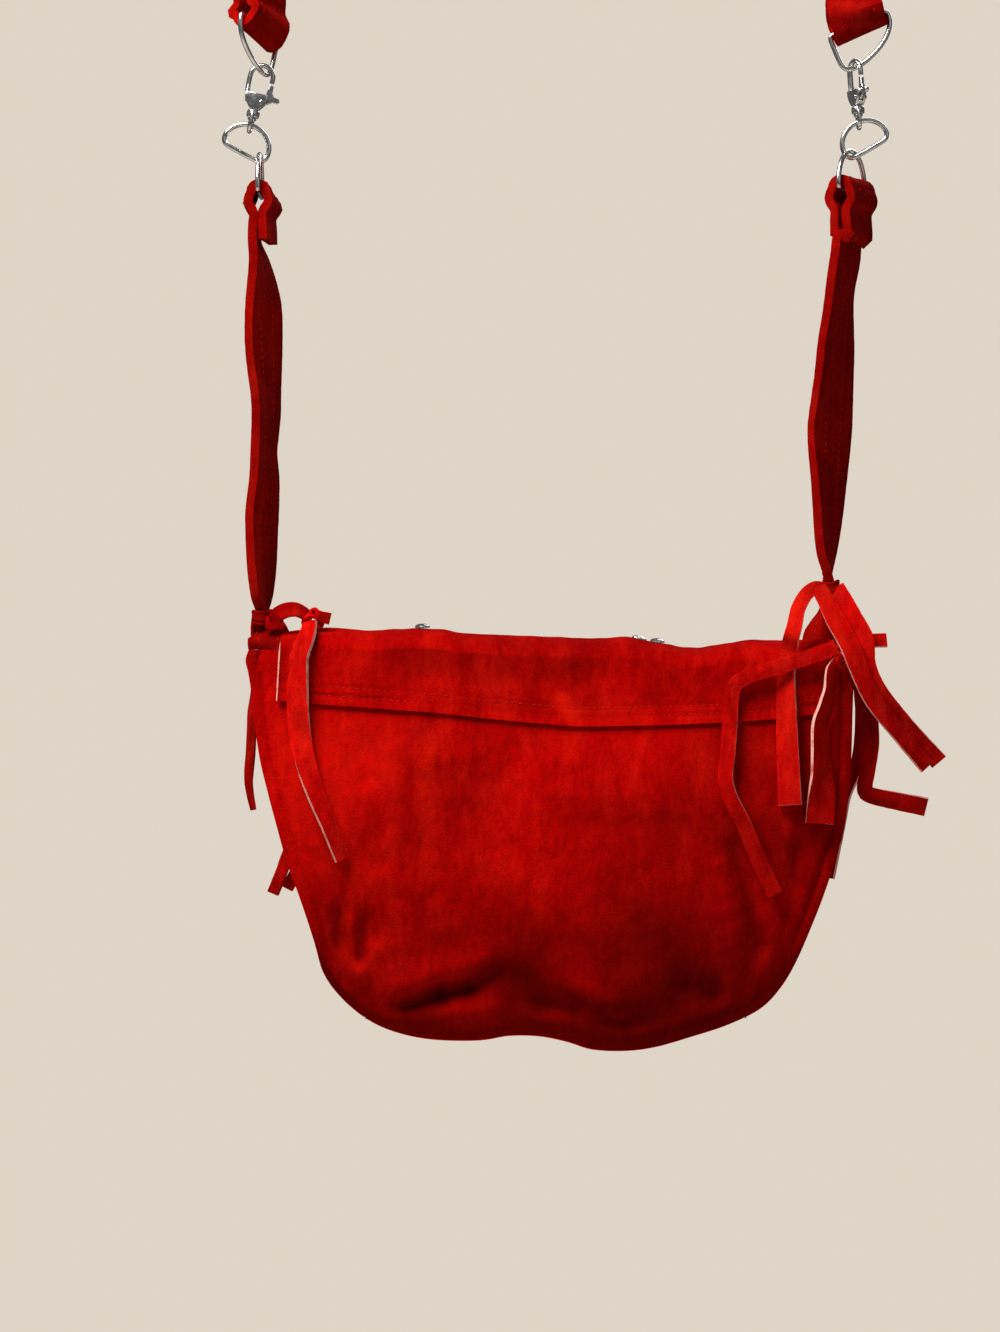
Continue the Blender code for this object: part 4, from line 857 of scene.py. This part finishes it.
def strapLine(stations, step):
    rows = np.array([np.concatenate([p, w, [wide]]) for p, w, wide in stations])
    for i in range(1, len(rows)):
        if rows[i, 3:6] @ rows[i - 1, 3:6] < 0:
            rows[i, 3:6] *= -1
    line = throughPoints(rows, int(runAlong(rows[:, :3])[-1] / step))
    return line[:, :3], unit(line[:, 3:6]), line[:, 6]


def strapRow(name, line, across, share, gap):
    # a row of small stitches on both faces of a strap
    run = runAlong(line)
    want = np.arange(4, run[-1] - 4, gap)
    place, side = (readAt(want, run, part) for part in (line, across))
    ahead = unit(np.gradient(place, axis=0))
    face = unit(np.cross(ahead, side))
    offset = side * (share * strapPlan["wide"])
    lift = face * (strapPlan["thick"] / 2 + 0.03)
    both = np.vstack([place + offset + lift, (place + offset - lift)[::-1]])
    normals = np.vstack([face, -face[::-1]])
    return stitchRow(name, both, normals, strapPlan["stitch"], thread, "red_suede")


def bothRows(name, line, across, share, gap):
    strapRow(name + "RowA", line, across, -share, gap)
    strapRow(name + "RowB", line, across, share, gap)


def turnSeen(x, z, seen):
    # the strap is turned, left edge nearer, until it looks that wide from the back
    turn = math.acos(min(1, max(0, (seen - strapPlan["edgeSeen"]) / strapPlan["wide"])))
    return np.array([x, 0.0, z]), np.array([math.cos(turn), math.sin(turn), 0.0]), strapPlan["wide"]


def lowerStrap(plan):
    up = np.array([0, 0, 1.0])
    edgeOn = np.array([0, -1.0, 0])
    side, wide = plan["side"], strapPlan["wide"]
    along = unit(np.array(plan["along"], float))
    bar = barOf(plan["ring"], along, -up)
    towardTail = plan["tailSide"] * np.cross(along, up)
    stations = foldRound(bar, along, up, towardTail, strapPlan["tail"], -up)
    stations += [turnSeen(x, z, seen) for x, z, seen in plan["run"]]
    neckX, neckZ = plan["neckAt"]
    for z in (neckZ, neckZ - strapPlan["neckRun"]):
        stations.append((np.array([neckX, 0, z]), edgeOn, strapPlan["neck"]))
    for x, z, turn, narrower, forward in plan["fan"]:
        turned = np.array([math.sin(math.radians(turn)), -math.cos(math.radians(turn)), 0])
        stations.append((np.array([neckX + x, -forward, z]), turned, wide - narrower))
    insideX = side * (edgeX - strapPlan["inward"])
    narrowed = wide - strapPlan["insideNarrower"]
    for inward, z in strapPlan["inside"]:
        stations.append((np.array([insideX - side * inward, 0, z]), edgeOn, narrowed))
    line, across, widths = strapLine(stations, strapPlan["step"])
    strap = bandSheet(plan["name"], line, across, widths, strapPlan["thick"], strapPlan["columns"],
                      strapSuede, strapPlan["curl"], strapPlan["rounded"], strapPlan["wave"], side,
                      plan["paintedShade"], strapPlan["shadeSlant"])
    finishPiece(strap, "red_suede", plan["node"])
    bothRows(plan["name"], line, across, strapPlan["rowShare"], strapPlan["rowGap"])


def upperStrap():
    up = np.array([0, 0, 1.0])
    half = edgeX - upperPlan["inward"]
    top = drop / mm - half + strapPlan["thick"] / 2
    halves = []
    for side, ring, along in upperPlan["ends"]:
        along = unit(np.array(along))
        hang = -unit(up - along * (along @ up))
        bar = barOf(ring, along, -hang)
        towardTail = unit(np.cross(along, up))
        rising = foldRound(bar, along, hang, towardTail, upperPlan["tail"], up)
        start, across, wide = rising[-1]
        target = np.array([0, math.copysign(1, along[1] or 1), 0])
        for t in np.linspace(1 / upperPlan["rise"], 1, upperPlan["rise"]):
            soft = t * t * (3 - 2 * t)
            place = np.array([start[0] + (side * half - start[0]) * soft, start[1] * (1 - soft),
                              start[2] + (top - start[2]) * t])
            rising.append((place, unit(across + (target - across) * soft), wide))
        halves.append(rising)
    arch = []
    for a in np.linspace(math.pi, 0, upperPlan["arch"])[1:-1]:
        place = np.array([half * math.cos(a), 0, top + half * math.sin(a)])
        arch.append((place, np.array([0, 1.0, 0]), strapPlan["wide"]))
    line, across, widths = strapLine(halves[0] + arch + halves[1][::-1], upperPlan["step"])
    strap = bandSheet("upperStrap", line, across, widths, strapPlan["thick"], upperPlan["columns"],
                      strapSuede, upperPlan["curl"], strapPlan["rounded"], upperPlan["wave"],
                      upperPlan["seed"])
    finishPiece(strap, "red_suede", "upper_strap")
    bothRows("upperStrap", line, across, upperPlan["rowShare"], upperPlan["rowGap"])


upperStrap()
lowerStrap(leftStrap)
lowerStrap(rightStrap)
note("straps made")


# Ties, knots and loose strips

stripPlan = {
    "thick": 1.6, "curl": 0.35, "wave": 0.5, "rounded": 0.6, "columns": 6,
    "off": 1.0, "each": 2.2,      # off the flap, and from one strip up to the next
    "step": 0.9, "fewest": 24,
    # a strip's own dictionary may say otherwise
    # shade is painted shade: a strip that lies in shade is painted darker
    "facing": (0, -1, 0), "paintedShade": -0.10, "pale": True,
}
tiePlan = {
    "out": 3.3, "ahead": 7.7, "turns": 2.0, "rise": 3.2, "points": 46,
    # the tie is painted much darker: painted shade
    "wide": 4.6, "curl": 0.4, "wave": 0.6, "rounded": 0.6, "paintedShade": -0.62,
}
knotPlan = {"open": 0.25, "deep": 1.15, "drawn": 0.78, "points": 150,
            "wide": 4.6, "curl": -0.5, "wave": 0.5, "rounded": 0.7}


def over(x, z, layer=0.0, which="back"):
    # the middle of a strip over the flap or panel, that many strips up
    lift = stripPlan["off"] + stripPlan["thick"] / 2 + layer * stripPlan["each"]
    return (x, panelPlan[which]["side"] * (overPanel(x, z, which)[0] + lift), z)


def spreadAlong(values, count):
    return np.interp(np.linspace(0, 1, count), np.linspace(0, 1, len(values)), values)


def looseStrip(name, own):
    # a tilt above nought brings the right cut edge nearer, seen from the front of the strip
    plan = dict(stripPlan, **own)
    length = sum(math.dist(a, b) for a, b in zip(plan["route"], plan["route"][1:]))
    line = throughPoints(plan["route"], max(plan["fewest"], int(length / plan["step"])))
    ahead = unit(np.gradient(line, axis=0))
    facing = np.tile(unit(np.array(plan["facing"], float)), (len(line), 1))
    across = unit(np.cross(ahead, facing))
    face = unit(np.cross(across, ahead))
    tilt = -np.radians(spreadAlong(plan["tilts"], len(line)))
    across = across * np.cos(tilt)[:, None] + face * np.sin(tilt)[:, None]
    wide = spreadAlong(plan["widths"], len(line))
    rounded = 0.0 if plan["pale"] else plan["rounded"]
    made = bandSheet(name, line, across, wide, plan["thick"], plan["columns"], stripSuede,
                     plan["curl"], rounded, plan["wave"], plan["seed"], plan["paintedShade"])
    finishPiece(made, "strip_suede", plan["node"])


def wrappedTie(name, node, centre, seed):
    # a strip wound round the strap's neck
    plan = tiePlan
    a = np.linspace(0, 2 * math.pi * plan["turns"], int(plan["points"] * plan["turns"]))
    swell = 1 + 0.05 * np.sin(3 * a + seed)
    x = centre[0] + plan["out"] * np.sign(np.cos(a)) * np.abs(np.cos(a)) ** 0.6 * swell
    y = centre[1] + plan["ahead"] * np.sign(np.sin(a)) * np.abs(np.sin(a)) ** 0.6 * swell
    z = centre[2] + plan["rise"] * (a / a[-1] - 0.5) * (plan["turns"] - 1) + 0.5 * np.sin(2 * a + seed)
    spread = 1 + 0.10 * a / a[-1]
    line = np.column_stack([centre[0] + (x - centre[0]) * spread, centre[1] + (y - centre[1]) * spread, z])
    across = np.tile([0, 0, 1.0], (len(line), 1))
    made = bandSheet(name, line, across, np.full(len(line), plan["wide"]), stripPlan["thick"],
                     stripPlan["columns"], stripSuede, plan["curl"], plan["rounded"], plan["wave"],
                     seed, plan["paintedShade"])
    finishPiece(made, "strip_suede", node)


def overhandKnot(name, node, centre, size, turned):
    # a strip drawn into an overhand knot
    plan = knotPlan
    a = np.linspace(plan["open"], 2 * math.pi - plan["open"], plan["points"])
    trefoil = np.column_stack([np.sin(a) + 2 * np.sin(2 * a), -plan["deep"] * np.sin(3 * a),
                               np.cos(a) - 2 * np.cos(2 * a)]) / 3.0
    c, d = math.cos(turned), math.sin(turned)
    spun = trefoil @ np.array([[c, 0, d], [0, 1, 0], [-d, 0, c]])
    line = spun * np.array(size) * plan["drawn"] + np.array(centre)
    across = unit(np.cross(unit(np.gradient(line, axis=0)), unit(line - np.array(centre))))
    made = bandSheet(name, line, across, np.full(len(line), plan["wide"]), stripPlan["thick"],
                     stripPlan["columns"], stripSuede, plan["curl"], plan["rounded"], plan["wave"], turned)
    finishPiece(made, "strip_suede", node)


tieFront = -10.6                  # how far forward the ties come

# The left tassel: where the bag ends, the strap's neck, the flap's fold and the knot

endX = -edgeX
neckX = endX + 3.7
foldZ = 3.1
seatX, seatY, seatZ = endX + 26.5, -10.5, foldZ + 3.8

wrappedTie("leftTie", "left_tie", (neckX, 0, 7.5), 0.6)
overhandKnot("leftKnot", "left_knot", (seatX, seatY, seatZ), (5.4, 4.4, 5.0), 0.5)

leftArch = {
    "node": "left_strip_arch",
    "route": [
        (neckX + 2.6, tieFront + 1.0, 5.6), (neckX + 6.0, tieFront - 1.2, 5.8),
        (neckX + 7.8, tieFront - 2.4, 9.0), (neckX + 11.4, tieFront - 2.8, 10.9),
        (neckX + 15.4, tieFront - 2.2, 11.2), (neckX + 18.6, tieFront - 1.4, 9.8),
        (seatX - 2.6, seatY - 0.6, seatZ + 1.8),
    ],
    "widths": (5.4, 6.6, 6.4, 5.2), "tilts": (20, 4, -16), "facing": (0, -0.94, 0.34),
    "seed": 2.0, "paintedShade": -0.52, "pale": False,
}
looseStrip("leftArch", leftArch)

leftFront = {
    "node": "left_strip_front",
    "route": [
        (seatX - 1.2, seatY - 5.0, seatZ - 1.0), (seatX - 2.2, seatY - 8.4, foldZ - 2.6),
        over(endX + 21.2, -8, 0.3), over(endX + 20.6, -15, 0.2), over(endX + 20.5, -29, 0.1),
        over(endX + 21.6, -42, 0.2), over(endX + 24.2, -54, 0.3), over(endX + 28.4, -67, 0.2),
        over(endX + 33.5, -79, 0.1), over(endX + 40.0, -95, 0.1),
    ],
    "widths": (6.6, 10.6, 10.6, 9.6, 8.6, 8.0, 7.4, 7.0),
    "tilts": (36, 42, 36, 22, -10, -34, -38, -34), "seed": 3.0,
}
looseStrip("leftFront", leftFront)

leftTab = {
    "node": "left_strip_tab",
    "route": [
        (seatX + 1.2, seatY - 1.6, seatZ + 0.7), (seatX + 3.4, seatY - 2.2, seatZ + 1.0),
        (seatX + 5.2, seatY - 2.0, seatZ + 0.8), (seatX + 7.4, seatY - 1.8, seatZ + 0.3),
    ],
    "widths": (4.6, 5.0), "tilts": (8, 14), "seed": 4.0, "paintedShade": -0.35, "pale": False,
}
looseStrip("leftTab", leftTab)

outX = endX - 1.4                 # down the bag's left edge
# painted shade: this strip is painted darkest of all
leftEdge = {
    "node": "left_strip_edge",
    "route": [
        (neckX - 3.6, 5.5, 6.4), (neckX - 4.0, 9.0, 0.5), (outX + 1.2, 9.0, -9), (outX + 1.2, 2.0, -22),
        (outX + 1.0, -6.0, -32), (outX + 1.2, -8, -40), (outX + 0.8, -8, -50), (outX + 0.0, -8, -61),
        (outX + 0.6, -8, -68), (outX + 2.0, -8, -75),
    ],
    "widths": (3.2, 3.2, 4.0, 4.4, 4.2, 2.2), "tilts": (58, 56, 26, 0, -20), "facing": (-0.35, -0.94, 0),
    "seed": 5.0, "paintedShade": -0.80, "pale": False,
}
looseStrip("leftEdge", leftEdge)

leftBehind = {
    "node": "left_strip_behind",
    "route": [
        (neckX - 3.0, 10.6, 6.5), (neckX - 3.6, 17.5, 1.0),
        over(endX + 0.8, -15, 0, "front"), over(endX + 4.5, -30, 0, "front"),
        over(endX + 10.5, -60, 0, "front"), over(endX + 15.5, -85, 0, "front"),
        over(endX + 12.0, -100, 0, "front"), over(endX + 7.0, -113, 0, "front"),
    ],
    "widths": (5.0, 5.5), "tilts": (12, 12), "facing": (0, 1, 0),
    "seed": 6.0, "paintedShade": -0.35, "pale": False,
}
looseStrip("leftBehind", leftBehind)

leftInner = {
    "node": "left_strip_inner",
    "route": [
        (neckX + 2.6, 10.6, 6.5), (neckX + 3.0, 17.5, 1.0),
        over(endX + 8.0, -15, 1, "front"), over(endX + 11.5, -30, 1, "front"),
        over(endX + 18.5, -60, 1, "front"), over(endX + 22.5, -85, 1, "front"),
        over(endX + 19.0, -99, 1, "front"), over(endX + 13.0, -111, 1, "front"),
    ],
    "widths": (5.0, 5.5), "tilts": (-12, -12), "facing": (0, 1, 0),
    "seed": 7.0, "paintedShade": -0.35, "pale": False,
}
looseStrip("leftInner", leftInner)

# The right tassel, from its own end of the bag, neck and knot

endX = edgeX
neckX = endX - 10.3
seatX, seatY, seatZ = endX - 6.0, -23.4, -8.5

wrappedTie("rightTie", "right_tie", (neckX, 0, 20.0), 2.1)
overhandKnot("rightKnot", "right_knot", (seatX, seatY, seatZ), (5.6, 4.6, 5.6), 1.4)

rightA = {
    "node": "right_strip_a",
    "route": [
        (neckX - 3.2, tieFront + 0.6, 20.2), (neckX - 7.0, tieFront - 1.6, 20.4),
        (neckX - 11.0, tieFront - 4.4, 17.4), (neckX - 14.6, tieFront - 8.5, 11.4),
        (endX - 27.0, -25.0, 4.0), (endX - 28.4, -27.2, -0.5), over(endX - 29.2, -6.5, 0.7),
        over(endX - 30.2, -14.0, 0), over(endX - 30.4, -23.0, 0), over(endX - 30.2, -44.0, 0.2),
        over(endX - 29.3, -72.0, 0.2),
    ],
    "widths": (5.6, 6.2, 7.4, 8.6, 9.4, 10.0), "tilts": (10, 24, 30, 26, 20, 16), "seed": 11.0,
}
looseStrip("rightA", rightA)

rightB = {
    "node": "right_strip_b",
    "route": [
        (seatX - 3.4, seatY - 3.0, seatZ + 4.0), over(endX - 13.0, -6.4, 2.0), over(endX - 20.5, -9.0, 1.9),
        over(endX - 31.5, -12.6, 2.1), over(endX - 41.5, -15.5, 1.6), over(endX - 48.6, -18.2, 1.2),
        over(endX - 52.6, -21.6, 0.9), over(endX - 54.0, -28.0, 0.5), over(endX - 54.6, -38.0, 0.3),
        over(endX - 55.6, -50.0, 0.2), over(endX - 56.6, -60.0, 0.2), over(endX - 54.6, -69.0, 0.2),
        over(endX - 49.0, -80.0, 0.2), over(endX - 43.0, -94.0, 0.2), over(endX - 35.4, -110.0, 0.2),
    ],
    "widths": (6.2, 6.4), "tilts": (8, 8, 4, 8, 20, 24, 8, 4, 4), "seed": 12.0, "paintedShade": -0.26,
}
looseStrip("rightB", rightB)

rightC = {
    "node": "right_strip_c",
    "route": [
        (seatX - 0.6, seatY - 4.0, seatZ + 0.6), over(endX - 8.4, -9.8, 1.6), over(endX - 11.2, -15.0, 1.2),
        over(endX - 11.4, -23.0, 0.9), over(endX - 13.4, -30.4, 0.7), over(endX - 15.8, -38.0, 0.5),
        over(endX - 15.8, -50.0, 0.4), over(endX - 15.4, -64.0, 0.3), over(endX - 16.4, -80.0, 0.3),
    ],
    "widths": (2.4, 6.0, 9.0, 10.0, 10.8, 11.4, 12.0, 12.0),
    "tilts": (-6, -38, -44, -44, -44, -40, -16, -4), "seed": 13.0, "paintedShade": -0.42,
}
looseStrip("rightC", rightC)

rightD = {
    "node": "right_strip_d",
    "route": [
        (neckX - 5.4, tieFront - 1.4, 20.8), (neckX - 3.0, tieFront - 4.4, 16.0), (endX - 9.4, -22.0, 7.0),
        (endX - 4.0, -29.4, -4.4), (endX - 0.4, -31.4, -14.0), (endX + 5.8, -32.0, -27.5),
        (endX + 17.6, -31.6, -42.6), (endX + 28.7, -31.0, -55.9),
    ],
    "widths": (6.4, 8.4, 8.2, 7.6, 7.0, 6.8), "tilts": (-14, -10, -16, -22, -24),
    "seed": 14.0, "paintedShade": -0.26,
}
looseStrip("rightD", rightD)

rightE = {
    "node": "right_strip_e",
    "route": [
        (neckX + 3.0, -7.4, 20.6), (neckX + 5.6, -12.0, 15.6), (endX - 1.2, -19.0, 8.0),
        (endX + 3.0, -26.6, -1.7), (endX + 3.6, -28.0, -12.5), (endX + 8.4, -28.4, -23.6),
        (endX + 20.0, -27.6, -38.3), (endX + 34.3, -26.8, -53.8),
    ],
    "widths": (7.0, 7.6), "tilts": (14, 12, 8, 16, 20), "seed": 15.0, "paintedShade": -0.22,
}
looseStrip("rightE", rightE)

rightTab = {
    "node": "right_strip_tab",
    "route": [
        (seatX + 3.0, seatY + 1.0, -4.0), (endX + 1.5, seatY + 3.0, -2.6),
        (endX + 7.0, seatY + 3.5, -2.2), (endX + 12.8, seatY + 4.0, -2.0),
    ],
    "widths": (5.6, 6.0), "tilts": (-18, -24), "seed": 16.0,
}
looseStrip("rightTab", rightTab)

rightF = {
    "node": "right_strip_f",
    "route": [
        (neckX + 5.6, 4.0, 14.0), (endX - 1.8, 4.5, 7.0), (endX + 3.9, 1.0, -6.0), (endX + 5.4, -4.0, -27.5),
        (endX + 6.4, -7.5, -44.7), (endX + 5.4, -8.8, -58.6), (endX + 4.6, -9.0, -66.0),
        (endX + 7.4, -9.0, -68.6), (endX + 17.6, -9.0, -70.9), (endX + 31.0, -9.0, -73.6),
    ],
    "widths": (8.4, 9.0, 9.6, 9.6, 9.0, 6.4, 7.6, 8.2), "tilts": (0, 6, 12, 16, 10, 20, 24),
    "facing": (0.2, -1, 0), "seed": 17.0, "paintedShade": -0.60,
}
looseStrip("rightF", rightF)

rightG = {
    "node": "right_strip_g",
    "route": [
        (neckX + 2.0, 10.6, 18.5), (endX - 3.0, 18.5, 10.0),
        over(endX + 5.4, -10, 0, "front"), over(endX + 6.4, -28, 0, "front"),
        over(endX + 6.0, -46, 0, "front"), over(endX + 3.6, -59, 0, "front"),
        over(endX - 1.0, -70, 0, "front"), over(endX - 3.4, -82, 0, "front"),
        over(endX - 8.4, -106, 0, "front"),
    ],
    "widths": (5.0, 6.0), "tilts": (28, 30), "facing": (0, 1, 0), "seed": 18.0, "paintedShade": -0.45,
}
looseStrip("rightG", rightG)
note("tassels made")


# Metal: the CAD's own pieces, with round wires and worn edges

metalPlan = {
    "wires": ["upper_ring", "lower_ring", "clasp_dee", "swivel_stirrup"], "smoother": 2,
    "cast": ["hook", "gate", "gate_pin"], "edge": 0.16, "segments": 2, "bevelFrom": 38, "smoothBelow": 35,
    "studs": ["left_stud", "middle_stud", "right_stud"],
    "merge": 1e-5,
}


def copyNode(node, name):
    # a copy of a CAD node, merged, to be finished as its own piece
    made = nodes[node].copy()
    made.data = nodes[node].data.copy()
    made.name = name
    made.parent = None
    made.matrix_world = Matrix.Identity(4)
    bpy.context.scene.collection.objects.link(made)
    deselect()
    made.select_set(True)
    bpy.context.view_layer.objects.active = made
    bpy.ops.object.mode_set(mode="EDIT")
    bpy.ops.mesh.select_all(action="SELECT")
    bpy.ops.mesh.remove_doubles(threshold=metalPlan["merge"])
    bpy.ops.mesh.normals_make_consistent(inside=False)
    bpy.ops.object.mode_set(mode="OBJECT")
    made.data.materials.clear()
    made.data.materials.append(chrome)
    return made


def roundWire(node, name):
    wire = copyNode(node, name)
    bpy.ops.object.mode_set(mode="EDIT")
    bpy.ops.mesh.tris_convert_to_quads(face_threshold=math.radians(60), shape_threshold=math.radians(60))
    bpy.ops.object.mode_set(mode="OBJECT")
    smooth = wire.modifiers.new("smooth", "SUBSURF")
    smooth.levels = smooth.render_levels = metalPlan["smoother"]
    bpy.ops.object.modifier_apply(modifier="smooth")
    bpy.ops.object.shade_smooth()
    finishPiece(wire, "silver_metal", node)


def castMetal(node, name, body):
    cast = copyNode(node, name)
    edge = cast.modifiers.new("wornEdge", "BEVEL")
    edge.width = metalPlan["edge"] * mm
    edge.segments = metalPlan["segments"]
    edge.limit_method = "ANGLE"
    edge.angle_limit = math.radians(metalPlan["bevelFrom"])
    bpy.ops.object.modifier_apply(modifier="wornEdge")
    bpy.ops.object.shade_smooth_by_angle(angle=math.radians(metalPlan["smoothBelow"]))
    finishPiece(cast, "silver_metal", node, body=body)


def pieceName(side, kind, part):
    return side + kind + part.title().replace("_", "")


for side in ("left", "right"):
    for part in metalPlan["wires"]:
        roundWire(side + "_" + part, pieceName(side, "Wire", part))
    for part in metalPlan["cast"]:
        body = side + "_gate" if part == "gate" else side + "_hook"
        castMetal(side + "_" + part, pieceName(side, "Cast", part), body)

# the studs keep the CAD's shape and only get their finish
for stud in metalPlan["studs"]:
    nodes[stud].material_slots[0].material = chrome
note("metal made")


# Light, camera and floor

view = {
    "place": (-0.0228, -1.500, -0.473), "lens": 93.71,
    "wall": (0.735, 0.665, 0.575),        # what the camera sees behind the bag
    "air": (0.86, 0.88, 0.92), "airLight": 0.11,
}
lamps = {
    "roomLamp": {"place": (-0.46, -0.50, 0.50), "target": (0, 0, -0.50), "size": 0.70, "power": 22.0,
                 "colour": (1.0, 0.965, 0.92)},
    "fillLamp": {"place": (0.7, -1.2, 0.1), "target": (0, 0, -0.5), "size": 0.9, "power": 0.9,
                 "colour": (0.93, 0.96, 1.0)},
    "backLamp": {"place": (0.5, 0.9, 0.4), "target": (0, 0, -0.4), "size": 0.8, "power": 5.0,
                 "colour": (1.0, 0.98, 0.95)},
}
floorPlan = {"size": 4.2, "place": (0, -1.55, -1.0), "paint": (0.78, 0.75, 0.70), "rough": 0.9}


def makeCamera():
    camera = bpy.data.cameras.new("camera")
    camera.lens = view["lens"]
    held = bpy.data.objects.new("camera", camera)
    bpy.context.scene.collection.objects.link(held)
    held.location = view["place"]
    held.rotation_euler = (math.radians(90), 0, 0)
    bpy.context.scene.camera = held
    bpy.context.scene.view_settings.view_transform = "Standard"


def makeRoom():
    # the air lights the bag a little, and the camera sees the pale wall instead
    world = bpy.data.worlds.new("paleRoom")
    bpy.context.scene.world = world
    world.use_nodes = True
    tree = world.node_tree
    air = tree.nodes["Background"]
    air.inputs["Color"].default_value = (*view["air"], 1)
    air.inputs["Strength"].default_value = view["airLight"]
    wall = tree.nodes.new("ShaderNodeBackground")
    wall.inputs["Color"].default_value = (*view["wall"], 1)
    path = tree.nodes.new("ShaderNodeLightPath")
    either = tree.nodes.new("ShaderNodeMixShader")
    tree.links.new(path.outputs["Is Camera Ray"], either.inputs[0])
    tree.links.new(air.outputs[0], either.inputs[1])
    tree.links.new(wall.outputs[0], either.inputs[2])
    tree.links.new(either.outputs[0], tree.nodes["World Output"].inputs["Surface"])


def makeLamp(name, plan):
    lamp = bpy.data.lights.new(name, "AREA")
    lamp.shape = "DISK"
    lamp.size = plan["size"]
    lamp.energy = plan["power"]
    lamp.color = plan["colour"]
    held = bpy.data.objects.new(name, lamp)
    bpy.context.scene.collection.objects.link(held)
    held.location = plan["place"]
    aim = Vector(plan["target"]) - Vector(plan["place"])
    held.rotation_euler = aim.to_track_quat("-Z", "Y").to_euler()


def makeFloor():
    deselect()
    bpy.ops.mesh.primitive_plane_add(size=floorPlan["size"], location=floorPlan["place"])
    floor = bpy.context.active_object
    floor.name = "floor"
    paint, tree, shader = newMaterial("palePaint")
    shader.inputs["Base Color"].default_value = (*floorPlan["paint"], 1)
    shader.inputs["Roughness"].default_value = floorPlan["rough"]
    floor.data.materials.append(paint)


makeCamera()
makeRoom()
for name, plan in lamps.items():
    makeLamp(name, plan)
makeFloor()
note("view made")
